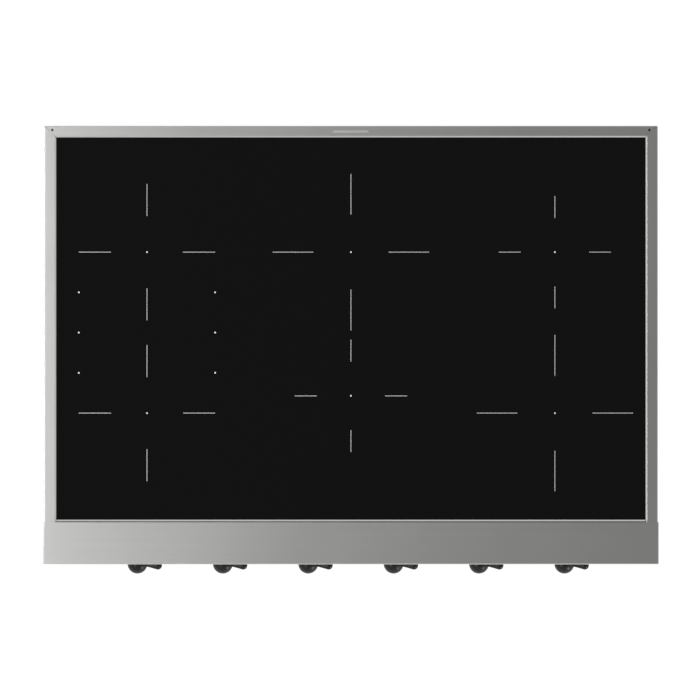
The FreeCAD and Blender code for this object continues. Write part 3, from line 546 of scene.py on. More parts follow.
def islands(node):
    """The lowest and highest corners of each separate solid of a frame node."""
    mesh = bmesh.new()
    mesh.from_mesh(NODES[node].data)
    bmesh.ops.remove_doubles(mesh, verts=mesh.verts, dist=NODE_MERGE_DISTANCE)
    waiting = set(mesh.verts)
    found = []
    while waiting:
        reached = [waiting.pop()]
        solid = []
        while reached:
            point = reached.pop()
            solid.append(point.co.copy())
            for link in point.link_edges:
                other = link.other_vert(point)
                if other in waiting:
                    waiting.discard(other)
                    reached.append(other)
        low = Vector(min(point[axis] for point in solid) for axis in range(3))
        high = Vector(max(point[axis] for point in solid) for axis in range(3))
        found.append((low, high))
    mesh.free()
    decimals = 4
    return sorted(found, key=lambda box: tuple(round(value, decimals) for value in box[0]))


def printed_bar(low, high):
    """A flat printed bar between two corners: a plane, raised by its ink's thickness."""
    clear_selection()
    middle = (low + high) / 2
    bpy.ops.mesh.primitive_plane_add(size=1.0, location=middle)
    bar = bpy.context.object
    bar.scale = (high.x - low.x, high.y - low.y, 1)
    settle(bar)
    raise_print()
    return bar


def printed_dot(centre, radius):
    """A flat printed dot."""
    sides = 24
    clear_selection()
    bpy.ops.mesh.primitive_circle_add(vertices=sides, radius=radius, fill_type="NGON", location=centre)
    dot = bpy.context.object
    settle(dot)
    raise_print()
    return dot


def raise_print():
    """Extrudes the active flat print upwards, so that it is a closed film."""
    bpy.ops.object.mode_set(mode="EDIT")
    bpy.ops.mesh.select_all(action="SELECT")
    bpy.ops.mesh.extrude_region_move(TRANSFORM_OT_translate={"value": (0, 0, PRINT_FILM)})
    bpy.ops.mesh.select_all(action="SELECT")
    bpy.ops.mesh.normals_make_consistent(inside=False)
    bpy.ops.object.mode_set(mode="OBJECT")


def finish_piece(piece, material, body, slot, *nodes):
    """Gives a finished piece its material, the body it rides on and the nodes it stands for."""
    piece.data.materials.clear()
    piece.data.materials.append(material)
    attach(piece, body)
    if nodes:
        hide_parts(*nodes)


def refinish(node, material):
    """Gives a frame node a finished material in its own slot."""
    piece = NODES[node]
    if piece.material_slots:
        piece.material_slots[0].material = material
    else:
        piece.data.materials.append(material)


# ---------------------------------------------------------------- materials


class Finish:
    """A material under construction, with short calls for the nodes that the finishes share."""

    spread_from = (0.25, 0.75)  # most of a noise pattern lies between these
    blend_from = (0.3, 0.7)  # where a blend is wholly its first and its second colour

    def __init__(self, name):
        self.material = bpy.data.materials.new(name)
        self.material.use_nodes = True
        self.nodes = self.material.node_tree.nodes
        self.links = self.material.node_tree.links
        self.shader = self.nodes["Principled BSDF"]
        self.place = self.nodes.new("ShaderNodeTexCoord").outputs["Object"]

    def set(self, **sockets):
        """Sets uniform values on the shader's own sockets; Base_Color means Base Color."""
        for name, value in sockets.items():
            self.shader.inputs[name.replace("_", " ")].default_value = value

    def noise(self, scale, detail=3.0, stretch=(1, 1, 1)):
        """Noise in the piece's own space, stretched by a Mapping node."""
        mapping = self.nodes.new("ShaderNodeMapping")
        mapping.inputs["Scale"].default_value = stretch
        noise = self.nodes.new("ShaderNodeTexNoise")
        noise.inputs["Scale"].default_value = scale
        noise.inputs["Detail"].default_value = detail
        self.links.new(self.place, mapping.inputs["Vector"])
        self.links.new(mapping.outputs["Vector"], noise.inputs["Vector"])
        return noise.outputs["Fac"]

    def spread(self, value, low, high):
        """Spreads the middle half of a 0 to 1 pattern between two values."""
        spread = self.nodes.new("ShaderNodeMapRange")
        spread.inputs["From Min"].default_value = self.spread_from[0]
        spread.inputs["From Max"].default_value = self.spread_from[1]
        spread.inputs["To Min"].default_value = low
        spread.inputs["To Max"].default_value = high
        self.links.new(value, spread.inputs["Value"])
        return spread.outputs["Result"]

    def blend(self, value, first, second):
        """A colour between two, by the middle of a 0 to 1 pattern."""
        ramp = self.nodes.new("ShaderNodeValToRGB")
        ramp.color_ramp.elements[0].position = self.blend_from[0]
        ramp.color_ramp.elements[1].position = self.blend_from[1]
        ramp.color_ramp.elements[0].color = (*first, 1)
        ramp.color_ramp.elements[1].color = (*second, 1)
        self.links.new(value, ramp.inputs["Fac"])
        return ramp.outputs["Color"]

    def bump(self, value, depth):
        """Raises the surface by a pattern, depth metres high."""
        bump = self.nodes.new("ShaderNodeBump")
        bump.inputs["Distance"].default_value = depth
        self.links.new(value, bump.inputs["Height"])
        self.links.new(bump.outputs["Normal"], self.shader.inputs["Normal"])

    def link(self, value, socket):
        """Feeds a pattern into one of the shader's sockets."""
        self.links.new(value, self.shader.inputs[socket])


def shade(colour, factor):
    """A colour made darker or lighter."""
    return tuple(min(1.0, channel * factor) for channel in colour)


def brushed_steel(name, along):
    """Stainless steel brushed along X, Y or Z."""
    settings = bpy.context.scene.rangetop_steel
    finish = Finish(name)
    finish.set(Metallic=1.0)
    line_draw = 0.004
    tone_range = 0.025
    stretch = tuple(line_draw if axis == along else 1.0 for axis in "XYZ")
    lines = finish.noise(scale=520.0, detail=5.0, stretch=stretch)
    clouds = finish.noise(scale=6.0, detail=4.0)
    dark = shade(settings.colour, 1 - tone_range)
    light = shade(settings.colour, 1 + tone_range)
    finish.link(finish.blend(lines, dark, light), "Base Color")
    finish.link(finish.spread(clouds, settings.smooth, settings.coarse), "Roughness")
    finish.bump(lines, settings.grain)
    return finish.material


def black_glass():
    """Polished black glass-ceramic, with the faintest unevenness of a wiped surface."""
    settings = bpy.context.scene.rangetop_glass
    finish = Finish("Black glass ceramic")
    finish.set(Base_Color=(*settings.colour, 1), IOR=1.5)
    wipes = finish.noise(scale=9.0, detail=5.0, stretch=(1, 0.35, 1))
    finish.link(finish.spread(wipes, low=0.035, high=0.065), "Roughness")
    return finish.material


def printed_ink(name, colour):
    """Fired screen print, very slightly uneven."""
    finish = Finish(name)
    speck = finish.noise(scale=2500.0, detail=2.0)
    dark = shade(colour, 0.94)
    light = shade(colour, 1.03)
    finish.link(finish.blend(speck, dark, light), "Base Color")
    finish.link(finish.spread(speck, low=0.40, high=0.50), "Roughness")
    return finish.material


def moulded(name, colour, roughness):
    """Moulded plastic with fine orange peel, rubbed a little smoother in places."""
    finish = Finish(name)
    finish.set(IOR=1.45, Specular_IOR_Level=0.25)
    peel = finish.noise(scale=1800.0, detail=2.0)
    rub = finish.noise(scale=60.0, detail=4.0)
    dark = shade(colour, 0.9)
    light = shade(colour, 1.12)
    finish.link(finish.blend(rub, dark, light), "Base Color")
    finish.link(finish.spread(rub, low=roughness - 0.04, high=roughness + 0.05), "Roughness")
    finish.bump(peel, depth=0.0015 * MM)
    return finish.material


def plated(name, colour, roughness=0.28):
    """Plated or turned metal with fine lathe marks and small stains."""
    finish = Finish(name)
    finish.set(Metallic=1.0)
    marks = finish.noise(scale=900.0, detail=3.0)
    stains = finish.noise(scale=70.0, detail=4.0)
    dark = shade(colour, 0.93)
    light = shade(colour, 1.05)
    finish.link(finish.blend(stains, dark, light), "Base Color")
    finish.link(finish.spread(marks, low=roughness - 0.06, high=roughness + 0.08), "Roughness")
    finish.bump(marks, depth=0.002 * MM)
    return finish.material


def galvanised(name):
    """Galvanised sheet: flat crystals of zinc, each with its own tone."""
    finish = Finish(name)
    finish.set(Metallic=0.9)
    crystals = finish.nodes.new("ShaderNodeTexVoronoi")
    crystals.inputs["Scale"].default_value = 130.0
    finish.links.new(finish.place, crystals.inputs["Vector"])
    tone = finish.nodes.new("ShaderNodeSeparateColor")
    finish.links.new(crystals.outputs["Color"], tone.inputs["Color"])
    pattern = tone.outputs["Red"]
    dark = (0.335, 0.342, 0.350)
    light = (0.365, 0.372, 0.380)
    finish.link(finish.blend(pattern, dark, light), "Base Color")
    finish.link(finish.spread(pattern, low=0.43, high=0.48), "Roughness")
    finish.bump(finish.noise(scale=400.0, detail=3.0), depth=0.004 * MM)
    return finish.material


def frosted_ring():
    """The unlit, frosted light ring."""
    finish = Finish("Frosted light ring")
    finish.set(IOR=1.49, Subsurface_Weight=0.2, Subsurface_Scale=0.002)
    cloud = finish.noise(scale=300.0, detail=3.0)
    dark = (0.70, 0.71, 0.72)
    light = (0.78, 0.79, 0.80)
    finish.link(finish.blend(cloud, dark, light), "Base Color")
    finish.link(finish.spread(cloud, low=0.36, high=0.46), "Roughness")
    return finish.material


def circuit_board():
    """Green solder mask over faint copper tracks."""
    finish = Finish("Circuit board")
    tracks = finish.noise(scale=160.0, detail=1.0, stretch=(1, 0.1, 1))
    mask = (0.010, 0.085, 0.030)
    over_copper = (0.020, 0.150, 0.050)
    finish.link(finish.blend(tracks, mask, over_copper), "Base Color")
    finish.link(finish.spread(tracks, low=0.32, high=0.42), "Roughness")
    finish.bump(tracks, depth=0.03 * MM)
    return finish.material


def wound_copper():
    """Enamelled copper strands, wound flat."""
    finish = Finish("Wound copper")
    finish.set(Metallic=0.85)
    strands = finish.noise(scale=700.0, detail=2.0, stretch=(1, 1, 0.2))
    dark = (0.36, 0.13, 0.06)
    light = (0.55, 0.24, 0.12)
    finish.link(finish.blend(strands, dark, light), "Base Color")
    finish.link(finish.spread(strands, low=0.3, high=0.5), "Roughness")
    finish.bump(strands, depth=0.2 * MM)
    return finish.material


def matte_mineral(name, dark, light, roughness, grit):
    """A dull, fine-grained solid such as ferrite, mica or rubber."""
    finish = Finish(name)
    grains = finish.noise(scale=900.0, detail=4.0)
    finish.link(finish.blend(grains, dark, light), "Base Color")
    finish.link(finish.spread(grains, low=roughness - 0.06, high=roughness + 0.06), "Roughness")
    finish.bump(grains, grit)
    return finish.material


# ---------------------------------------------------------------- operators


class RANGETOP_OT_glass(bpy.types.Operator):
    """Makes the black glass plate and the printed zone marks"""

    bl_idname = "rangetop.glass"
    bl_label = "Glass and Zone Marks"

    def execute(self, context):
        settings = context.scene.rangetop_glass
        plate = frame_copy("glass_panel", "glass_plate")
        round_edges(plate, settings.edge, segments=3)
        finish_piece(plate, black_glass(), CASE, "black_glass", "glass_panel")
        lines = join(self.zone_lines(settings), "zone_lines")
        grey = printed_ink("Grey enamel print", settings.line_colour)
        finish_piece(lines, grey, CASE, "black_glass")
        dots = join(self.zone_dots(settings), "zone_dots")
        white = printed_ink("White enamel print", settings.dot_colour)
        finish_piece(dots, white, CASE, "black_glass")
        return {"FINISHED"}

    def zone_lines(self, settings):
        """Four lines for each zone, pointing at its centre."""
        lines = []
        for zone in ZONES:
            centre, coil = self.zone_place(zone)
            inner = settings.clear_middle + coil * settings.clear_share
            outer = coil + settings.overhang
            for way in (Vector((1, 0, 0)), Vector((0, 1, 0)), Vector((-1, 0, 0)), Vector((0, -1, 0))):
                side = Vector((abs(way.y), abs(way.x), 0)) * settings.line_width / 2
                ends = sorted((centre + way * inner, centre + way * outer), key=lambda end: end.x + end.y)
                lines.append(printed_bar(ends[0] - side, ends[1] + side))
        return lines

    def zone_place(self, zone):
        """A zone's centre on the glass, and the radius of the winding under it."""
        low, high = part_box(f"coil_{zone}")
        centre = (low + high) / 2
        centre.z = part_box("glass_panel")[1].z
        return centre, (high.x - low.x) / 2

    def zone_dots(self, settings):
        """A dot at each zone's centre, and three on each side that link the left pair of zones."""
        places = [self.zone_place(zone)[0] for zone in ZONES]
        rear, coil = self.zone_place("left_rear")
        front, _ = self.zone_place("left_front")
        reach = coil + settings.overhang
        for quarter in (1, 2, 3):
            for side in (-1, 1):
                places.append(front.lerp(rear, quarter / 4) + Vector((side * reach, 0, 0)))
        return [printed_dot(place, settings.dot_width / 2) for place in places]


class RANGETOP_OT_trims(bpy.types.Operator):
    """Makes the side, rear and front trims round the glass, and the blank bar"""

    bl_idname = "rangetop.trims"
    bl_label = "Trims"

    def execute(self, context):
        edge = context.scene.rangetop_steel.edge
        across = brushed_steel("Steel brushed across", "X")
        lengthwise = brushed_steel("Steel brushed lengthwise", "Y")
        for node, material in (
            ("left_trim", lengthwise),
            ("right_trim", lengthwise),
            ("rear_trim", across),
            ("front_glass_rim", across),
        ):
            sheet = frame_copy(node, f"{node}_sheet")
            round_edges(sheet, edge)
            finish_piece(sheet, material, CASE, "brushed_stainless", node)
        bar = frame_copy("name_bar", "blank_bar")
        round_edges(bar, edge)
        satin = plated("Satin badge", (0.56, 0.56, 0.55), 0.38)
        finish_piece(bar, satin, CASE, "satin_badge", "name_bar")
        return {"FINISHED"}


class RANGETOP_OT_ledge(bpy.types.Operator):
    """Makes the deep front ledge over the knobs"""

    bl_idname = "rangetop.ledge"
    bl_label = "Front Ledge"

    def execute(self, context):
        ledge = frame_copy("front_ledge", "ledge_sheet")
        round_edges(ledge, context.scene.rangetop_steel.edge)
        steel = bpy.data.materials["Steel brushed across"]
        finish_piece(ledge, steel, CASE, "brushed_stainless", "front_ledge")
        return {"FINISHED"}


class RANGETOP_OT_fascia(bpy.types.Operator):
    """Makes the fascia and the marks printed round each knob"""

    bl_idname = "rangetop.fascia"
    bl_label = "Fascia"

    mark_start = 30.5 * MM  # from the knob's middle to its marks
    mark_width = 0.7 * MM
    mark_least = 1.5 * MM  # length that the marks grow from
    mark_growth = 3.0 * MM
    off_dot = 1.5 * MM  # radius of the dot at the rest position
    map_drop = 49.0 * MM  # from the knob's middle down to its zone map
    map_columns = 5.0 * MM
    map_rows = 4.5 * MM
    own_dot = 1.7 * MM
    other_dot = 0.6 * MM

    def execute(self, context):
        panel = frame_copy("fascia", "fascia_panel")
        round_edges(panel, context.scene.rangetop_steel.edge)
        steel = bpy.data.materials["Steel brushed across"]
        finish_piece(panel, steel, CASE, "brushed_stainless", "fascia")
        marks = join([mark for name in KNOBS for mark in self.marks_of(context, name)], "power_marks")
        ink = printed_ink("Graphite print", (0.035, 0.035, 0.037))
        finish_piece(marks, ink, CASE, "knob_black")
        return {"FINISHED"}

    def marks_of(self, context, name):
        """The power marks round one knob and the little map of the zone that it serves."""
        hinge = HINGES[f"knob_{name}_hinge"]
        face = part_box("fascia")[0].y
        count = context.scene.rangetop_knob.ticks
        side = Vector((0, self.mark_width / 2, 0))
        start = Vector((self.mark_start, 0, 0))
        flat = [printed_dot(start + Vector((self.off_dot, 0, 0)), self.off_dot)]
        for number in range(1, count + 1):
            length = self.mark_least + self.mark_growth * number / count
            mark = printed_bar(start - side, start + side + Vector((length, 0, 0)))
            mark.data.transform(Matrix.Rotation(-KNOB_TURN * number / count, 4, "Z"))
            flat.append(mark)
        flat += self.zone_map(name)
        upright = Matrix.Translation((hinge.x, face, hinge.z)) @ Matrix.Rotation(math.pi / 2, 4, "X")
        for mark in flat:
            mark.data.transform(upright)
        return flat

    def zone_map(self, name):
        """Six small dots laid out as the zones are, the knob's own one larger."""
        dots = []
        for column, word in enumerate(("left", "centre", "right")):
            for row, end in enumerate(("front", "rear")):
                own = name == f"{word}_{end}"
                place = Vector(((column - 1) * self.map_columns, row * self.map_rows - self.map_drop, 0))
                dots.append(printed_dot(place, self.own_dot if own else self.other_dot))
        return dots


class RANGETOP_OT_bezels(bpy.types.Operator):
    """Makes the rings round the knobs and their frosted light rings"""

    bl_idname = "rangetop.bezels"
    bl_label = "Bezels and Light Rings"

    bore = 17.5 * MM
    light_width = 2.5 * MM
    groove_gap = 0.1 * MM
    bore_chamfer = 0.8 * MM
    bevel_run = 1.8 * MM
    bevel_height = 1.6 * MM
    light_shoulder = 0.3 * MM
    light_crown_side = 0.5 * MM
    light_crown_drop = 0.05 * MM
    bezel_edge = 0.15 * MM
    light_edge = 0.08 * MM
    steps = 72

    def execute(self, context):
        bezels = [self.bezel(low, high) for low, high in islands("knob_bezels")]
        lights = [self.light(low, high) for low, high in islands("light_rings")]
        rings = join(bezels, "bezel_rings")
        chrome = plated("Satin chrome", (0.62, 0.62, 0.62), 0.22)
        finish_piece(rings, chrome, CASE, "satin_bezel", "knob_bezels")
        glow = join(lights, "frosted_rings")
        finish_piece(glow, frosted_ring(), CASE, "light_ring", "light_rings")
        return {"FINISHED"}

    def bezel(self, low, high):
        """A turned ring: bevelled outside, with a groove for the light ring."""
        radius, front, back = (high.x - low.x) / 2, low.y, high.y
        light_low, light_high = islands("light_rings")[0]
        groove_outer = (light_high.x - light_low.x) / 2 + self.groove_gap
        groove_inner = groove_outer - self.light_width - 2 * self.groove_gap
        groove_back = front + light_high.y - light_low.y
        profile = [
            (self.bore, back),
            (radius, back),
            (radius, front + self.bevel_height),
            (radius - self.bevel_run, front),
            (groove_outer, front),
            (groove_outer, groove_back),
            (groove_inner, groove_back),
            (groove_inner, front),
            (self.bore + self.bore_chamfer, front),
            (self.bore, front + self.bore_chamfer),
        ]
        return self.ring(profile, (low + high) / 2, self.bezel_edge)

    def light(self, low, high):
        """A frosted ring with a softly rounded front."""
        outer, front, back = (high.x - low.x) / 2, low.y, high.y
        inner = outer - self.light_width
        profile = [
            (inner, back),
            (outer, back),
            (outer, front + self.light_shoulder),
            (outer - self.light_crown_side, front + self.light_crown_drop),
            ((outer + inner) / 2, front),
            (inner + self.light_crown_side, front + self.light_crown_drop),
            (inner, front + self.light_shoulder),
        ]
        return self.ring(profile, (low + high) / 2, self.light_edge)

    def ring(self, profile, centre, edge):
        """Turns a closed profile of radius and place along Y into a ring."""
        points = [Vector((centre.x + radius, along, centre.z)) for radius, along in profile]
        ring = lathe(points, centre, (0, 1, 0), self.steps, closed=True)
        round_edges(ring, edge)
        return ring


class RANGETOP_OT_knobs(bpy.types.Operator):
    """Makes the six knobs: a domed hub on a skirt, with a teardrop lever"""

    bl_idname = "rangetop.knobs"
    bl_label = "Knobs"

    skirt_soft = 1.2 * MM  # radius of the skirt's soft front edge
    soft_in, soft_back = 0.3, 0.25  # a point on that edge, as shares of its radius
    skirt_height = 5.0 * MM
    flare_run = 1.4 * MM
    flare_height = 5.6 * MM
    groove_depth = 0.5 * MM
    groove_levels = (8.6 * MM, 8.3 * MM, 7.7 * MM, 7.3 * MM)  # from the back: lip, bed, bed, lip
    groove_lip = 0.2 * MM
    hub_height = 10.2 * MM
    back_chamfer = 0.5 * MM
    bore = 3.1 * MM
    bore_mouth = 4.2 * MM
    bore_mouth_depth = 0.8 * MM
    bore_depth = 15.5 * MM
    tip_back = 12.1 * MM  # from the nose back to the middle of the lever's tip
    root_back = 13.4 * MM
    neck_start = 0.86  # the neck's first radius, as a share of the neck radius
    tip_touch = math.radians(72)  # where the swelling neck meets the round tip
    swell_start, swell_end = 1.6, 0.6  # the neck's radius grows by share squared x (start - end x share)
    dome_steps, swell_steps, tip_steps = 20, 15, 12
    hub_sides, lever_sides = 64, 40
    soft_shading = math.radians(32)

    def execute(self, context):
        settings = context.scene.rangetop_knob
        first = HINGES[f"knob_{KNOBS[0]}_hinge"]
        master = self.one_knob(settings, first)
        material = moulded("Graphite moulding", settings.colour, settings.roughness)
        for name in KNOBS:
            knob = placed_copy(master, Matrix.Translation(HINGES[f"knob_{name}_hinge"] - first))
            knob.name = f"lever_knob_{name}"
            knob.data.name = knob.name
            finish_piece(knob, material, f"knob_{name}_turn", "knob_black", f"knob_{name}")
        bpy.data.objects.remove(master)
        return {"FINISHED"}

    def one_knob(self, settings, hinge):
        """The first knob, with its lever joined on."""
        hub = self.hub(settings, hinge)
        lever = self.lever(settings, hinge)
        union = hub.modifiers.new("Lever", "BOOLEAN")
        union.operation = "UNION"
        union.solver = "EXACT"
        union.object = lever
        apply_all(hub)
        bpy.data.objects.remove(lever)
        mend(hub)
        take(hub)
        bpy.ops.object.shade_smooth_by_angle(angle=self.soft_shading)
        return hub

    def hub(self, settings, hinge):
        """The turned body: nose, slim hub, a fine groove and a soft-edged skirt."""
        low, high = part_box(f"knob_{KNOBS[0]}")
        tip, back, skirt = low.y, high.y, (high.z - low.z) / 2
        dome, hub, soft = settings.dome_radius, settings.hub_radius, self.skirt_soft
        skirt_front = back - self.skirt_height
        lip_front, bed_front, bed_back, lip_back = (back - level for level in self.groove_levels)
        turns = [math.pi / 2 * step / self.dome_steps for step in range(self.dome_steps + 1)]
        profile = [(dome * math.sin(turn), tip + dome - dome * math.cos(turn)) for turn in turns]
        profile += [
            (hub, back - self.hub_height),
            (hub, lip_front),
            (hub - self.groove_depth, bed_front),
            (hub - self.groove_depth, bed_back),
            (hub + self.groove_lip, lip_back),
            (hub + self.flare_run, back - self.flare_height),
            (skirt - soft, skirt_front),
            (skirt - self.soft_in * soft, skirt_front + self.soft_back * soft),
            (skirt, skirt_front + soft),
            (skirt, back - self.back_chamfer),
            (skirt - self.back_chamfer, back),
            (self.bore_mouth, back),
            (self.bore, back - self.bore_mouth_depth),
            (self.bore, back - self.bore_depth),
            (0, back - self.bore_depth),
        ]
        points = [Vector((hinge.x + radius, along, hinge.z)) for radius, along in profile]
        return lathe(points, Vector((hinge.x, 0, hinge.z)), (0, 1, 0), self.hub_sides)

    def lever(self, settings, hinge):
        """The teardrop: a slim neck that swells evenly into a round tip, leaning a little forward."""
        low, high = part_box(f"knob_{KNOBS[0]}")
        tip_radius = settings.lever_radius
        neck = settings.neck_radius * self.neck_start
        tip = Vector((high.x - tip_radius, low.y + self.tip_back, hinge.z))
        root = Vector((hinge.x + settings.dome_radius / 2, low.y + self.root_back, hinge.z))
        way, length = (tip - root).normalized(), (tip - root).length
        neck_length = length - tip_radius * math.cos(self.tip_touch)
        swell = tip_radius * math.sin(self.tip_touch) - neck
        profile = [(0.0, 0.0), (0.0, neck)]
        for step in range(1, self.swell_steps):
            share = step / self.swell_steps
            rise = share * share * (self.swell_start - self.swell_end * share)
            profile.append((neck_length * share, neck + swell * rise))
        for step in range(self.tip_steps + 1):
            turn = self.tip_touch + (math.pi - self.tip_touch) * step / self.tip_steps
            profile.append((length - tip_radius * math.cos(turn), tip_radius * math.sin(turn)))
        up = Vector((0, 0, 1))
        points = [root + way * along + up * radius for along, radius in profile]
        return lathe(points, root, way, self.lever_sides)


class RANGETOP_OT_screws(bpy.types.Operator):
    """Makes the case and fascia screws, with a cross recess in each head"""

    bl_idname = "rangetop.screws"
    bl_label = "Screws"

    head_height = 1.2 * MM
    shank_radius = 2.0 * MM
    point_length = 1.2 * MM
    recess_depth = 0.65 * MM
    recess_width = 0.75 * MM
    recess_share = 1.15  # length of the cross, as a share of the head's radius
    head_edge = 0.06 * MM
    sides = 28
    crown = ((0.0, 0.0), (0.55, 0.03 * MM), (0.82, 0.22 * MM), (0.96, 0.6 * MM))  # share of radius, drop

    def execute(self, context):
        material = plated("Zinc plated screw", (0.60, 0.60, 0.59), 0.30)
        master = self.one_screw()
        for node in ("base_screws", "deck_screws", "fascia_screws"):
            screws = [placed_copy(master, self.place_of(low, high)) for low, high in islands(node)]
            group = join(screws, f"{node}_cross_head")
            finish_piece(group, material, CASE, "steel_fastener", node)
        bpy.data.objects.remove(master)
        return {"FINISHED"}

    def one_screw(self):
        """One pan-head screw at the origin: its head's top faces -Y and its shank runs along +Y."""
        low, high = islands("fascia_screws")[0]
        radius, length = (high.x - low.x) / 2, high.y - low.y
        profile = [(radius * share, drop) for share, drop in self.crown]
        profile += [
            (radius, self.head_height),
            (self.shank_radius, self.head_height),
            (self.shank_radius, length - self.point_length),
            (0, length),
        ]
        points = [Vector((across, along, 0)) for across, along in profile]
        screw = lathe(points, Vector(), (0, 1, 0), self.sides)
        for turn in (0, math.pi / 2):
            clear_selection()
            bpy.ops.mesh.primitive_cube_add(size=1.0)
            blade = bpy.context.object
            blade.scale = (radius * self.recess_share, 2 * self.recess_depth, self.recess_width)
            settle(blade)
            blade.data.transform(Matrix.Rotation(turn, 4, "Y"))
            recess = screw.modifiers.new("Recess", "BOOLEAN")
            recess.operation = "DIFFERENCE"
            recess.object = blade
            apply_all(screw)
            bpy.data.objects.remove(blade)
        mend(screw)
        round_edges(screw, self.head_edge, segments=1)
        return screw

    def place_of(self, low, high):
        """Where a screw goes: the way it points is read from which side of the case it is on."""
        size, middle = high - low, (low + high) / 2
        if size.x > size.y:
            side = 1 if middle.x > 0 else -1
            start = Vector((high.x if side > 0 else low.x, middle.y, middle.z))
            return Matrix.Translation(start) @ Matrix.Rotation(side * math.pi / 2, 4, "Z")
        if middle.y > 0:
            return Matrix.Translation((middle.x, high.y, middle.z)) @ Matrix.Rotation(math.pi, 4, "Z")
        return Matrix.Translation((middle.x, low.y, middle.z))


class RANGETOP_OT_case(bpy.types.Operator):
    """Finishes the case panels and everything inside the case"""

    bl_idname = "rangetop.case"
    bl_label = "Case and Insides"

    def execute(self, context):
        finishes = {
            "seal_rubber": matte_mineral("Black silicone", (0.012,) * 3, (0.022,) * 3, 0.7, 0.01 * MM),
            "steel_fastener": plated("Zinc plate", (0.58, 0.58, 0.57)),
            "moulded_black": moulded("Black moulding", (0.02, 0.02, 0.02), 0.5),
            "circuit_board": circuit_board(),
            "galvanised_case": galvanised("Galvanised sheet"),
            "deck_aluminium": plated("Mill aluminium", (0.72, 0.72, 0.73), 0.38),
            "ferrite": matte_mineral("Sintered ferrite", (0.04,) * 3, (0.07,) * 3, 0.6, 0.02 * MM),
            "mica": matte_mineral("Pressed mica", (0.45, 0.40, 0.31), (0.60, 0.55, 0.44), 0.55, 0.02 * MM),
            "copper_winding": wound_copper(),
        }
        for subpart in frame["record"]["subparts"]:
            node, slot = subpart["node"], subpart["material_slot"]
            if slot == "galvanised_case":
                self.panel(node, finishes[slot])
            elif slot in finishes and not NODES[node].hide_render:
                refinish(node, finishes[slot])
        return {"FINISHED"}

    def panel(self, node, zinc):
        """A panel of the case, its cut edges slightly rounded."""
        cut_edge = 0.12 * MM
        sheet = frame_copy(node, f"{node}_sheet")
        round_edges(sheet, cut_edge, segments=1)
        finish_piece(sheet, zinc, CASE, "galvanised_case", node)


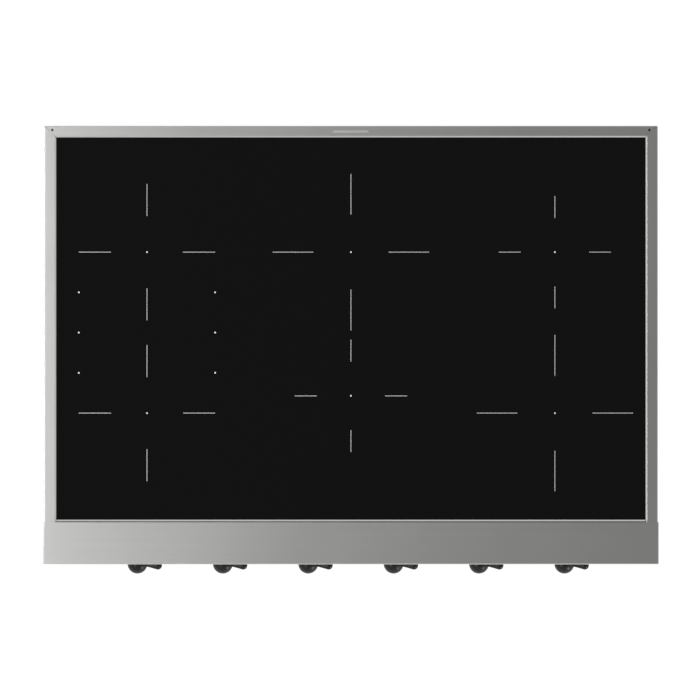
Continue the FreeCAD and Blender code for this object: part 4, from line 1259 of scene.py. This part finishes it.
class RANGETOP_OT_stage(bpy.types.Operator):
    """Sets the floor, the light tent, the lamps and the camera straight above"""

    bl_idname = "rangetop.stage"
    bl_label = "Stage"

    def execute(self, context):
        settings = context.scene.rangetop_stage
        self.floor(settings)
        self.tent(context, settings)
        low, high = CAD_BOX
        left, front, up = settings.key_place
        key_place = Vector((low.x - left, -front, high.z + up))
        key_aim = Vector((low.x / 2, 0, high.z))
        self.lamp(context, "Key", key_place, key_aim, settings.key_size, settings.key_power)
        right, front, up = settings.accent_place
        accent_place = Vector((high.x + right, low.y - front, up))
        accent_aim = Vector((0, low.y, high.z / 2))
        accent_size = (settings.accent_size, settings.accent_size)
        self.lamp(context, "Accent", accent_place, accent_aim, accent_size, settings.accent_power)
        self.camera(context, settings)
        context.scene.view_settings.view_transform = "Standard"
        return {"FINISHED"}

    def floor(self, settings):
        """A wide plain floor that glows like a light table. Its underside is clear, to show the base."""
        clear_selection()
        width = 40.0
        gap = 2 * MM
        mottling = 0.995
        bpy.ops.mesh.primitive_plane_add(size=width, location=(0, 0, -gap))
        floor = bpy.context.object
        floor.name = "studio_floor"
        finish = Finish("Studio floor")
        dark = shade(settings.floor_colour, mottling)
        mottle = finish.noise(scale=1.5, detail=4.0)
        finish.link(finish.blend(mottle, dark, settings.floor_colour), "Base Color")
        finish.set(Roughness=0.9, Specular_IOR_Level=0.1)
        finish.set(Emission_Color=(1, 1, 1, 1), Emission_Strength=settings.floor_glow)
        side = finish.nodes.new("ShaderNodeNewGeometry").outputs["Backfacing"]
        clear = finish.nodes.new("ShaderNodeBsdfTransparent").outputs["BSDF"]
        choice = finish.nodes.new("ShaderNodeMixShader")
        finish.links.new(side, choice.inputs["Fac"])
        finish.links.new(finish.shader.outputs["BSDF"], choice.inputs[1])
        finish.links.new(clear, choice.inputs[2])
        finish.links.new(choice.outputs["Shader"], finish.nodes["Material Output"].inputs["Surface"])
        floor.data.materials.append(finish.material)

    def tent(self, context, settings):
        """A white light tent, with a dark opening overhead for the camera."""
        world = bpy.data.worlds.new("Light tent")
        world.use_nodes = True
        nodes, links = world.node_tree.nodes, world.node_tree.links
        direction = nodes.new("ShaderNodeTexCoord")
        height = nodes.new("ShaderNodeSeparateXYZ")
        fade = nodes.new("ShaderNodeMapRange")
        fade.interpolation_type = "SMOOTHSTEP"
        fade.inputs["From Min"].default_value = math.cos(math.radians(settings.tent_edge))
        fade.inputs["From Max"].default_value = math.cos(math.radians(settings.opening_edge))
        fade.inputs["To Min"].default_value = settings.tent
        fade.inputs["To Max"].default_value = settings.opening
        links.new(direction.outputs["Generated"], height.inputs["Vector"])
        links.new(height.outputs["Z"], fade.inputs["Value"])
        links.new(fade.outputs["Result"], nodes["Background"].inputs["Strength"])
        nodes["Background"].inputs["Color"].default_value = (1, 1, 1, 1)
        context.scene.world = world

    def lamp(self, context, name, place, aim, size, power):
        """A soft rectangular lamp that the camera doesn't see."""
        data = bpy.data.lights.new(name, "AREA")
        data.shape = "RECTANGLE"
        data.size, data.size_y = size
        data.energy = power
        lamp = bpy.data.objects.new(name, data)
        lamp.location = place
        lamp.rotation_euler = (aim - place).to_track_quat("-Z", "Y").to_euler()
        lamp.visible_camera = False
        context.scene.collection.objects.link(lamp)

    def camera(self, context, settings):
        """A long lens looking straight down, with the whole rangetop in a square picture."""
        low, high = CAD_BOX
        view_width = (high.x - low.x) * settings.picture_width
        data = bpy.data.cameras.new("Overhead")
        data.sensor_width = 36.0
        data.lens = data.sensor_width * (settings.camera_height - high.z) / view_width
        data.clip_end = 100.0
        camera = bpy.data.objects.new("Overhead", data)
        middle = (low + high) / 2
        camera.location = (middle.x - settings.camera_left, middle.y, settings.camera_height)
        context.scene.collection.objects.link(camera)
        context.scene.camera = camera


OPERATORS = (
    RANGETOP_OT_glass,
    RANGETOP_OT_trims,
    RANGETOP_OT_ledge,
    RANGETOP_OT_fascia,
    RANGETOP_OT_bezels,
    RANGETOP_OT_knobs,
    RANGETOP_OT_screws,
    RANGETOP_OT_case,
    RANGETOP_OT_stage,
)


class RANGETOP_PT_panel(bpy.types.Panel):
    """Lists the settings and the steps in the sidebar"""

    bl_idname = "RANGETOP_PT_panel"
    bl_label = "Induction Rangetop"
    bl_space_type = "VIEW_3D"
    bl_region_type = "UI"
    bl_category = "Rangetop"

    def draw(self, context):
        for name, group in SETTINGS.items():
            box = self.layout.box()
            for prop in group.__annotations__:
                box.prop(getattr(context.scene, name), prop)
        for operator in OPERATORS:
            self.layout.operator(operator.bl_idname)


CLASSES = (*SETTINGS.values(), *OPERATORS, RANGETOP_PT_panel)


def register():
    """Registers the classes and hangs the settings on the scene."""
    for item in CLASSES:
        bpy.utils.register_class(item)
    for name, group in SETTINGS.items():
        setattr(bpy.types.Scene, name, PointerProperty(type=group))


def unregister():
    """Takes the settings and the classes away again."""
    for name in SETTINGS:
        delattr(bpy.types.Scene, name)
    for item in reversed(CLASSES):
        bpy.utils.unregister_class(item)


def main():
    """Builds every piece in order, then the stage."""
    register()
    bpy.ops.rangetop.glass()
    bpy.ops.rangetop.trims()
    bpy.ops.rangetop.ledge()
    bpy.ops.rangetop.fascia()
    bpy.ops.rangetop.bezels()
    bpy.ops.rangetop.knobs()
    bpy.ops.rangetop.screws()
    bpy.ops.rangetop.case()
    bpy.ops.rangetop.stage()


if __name__ == "__main__":
    main()
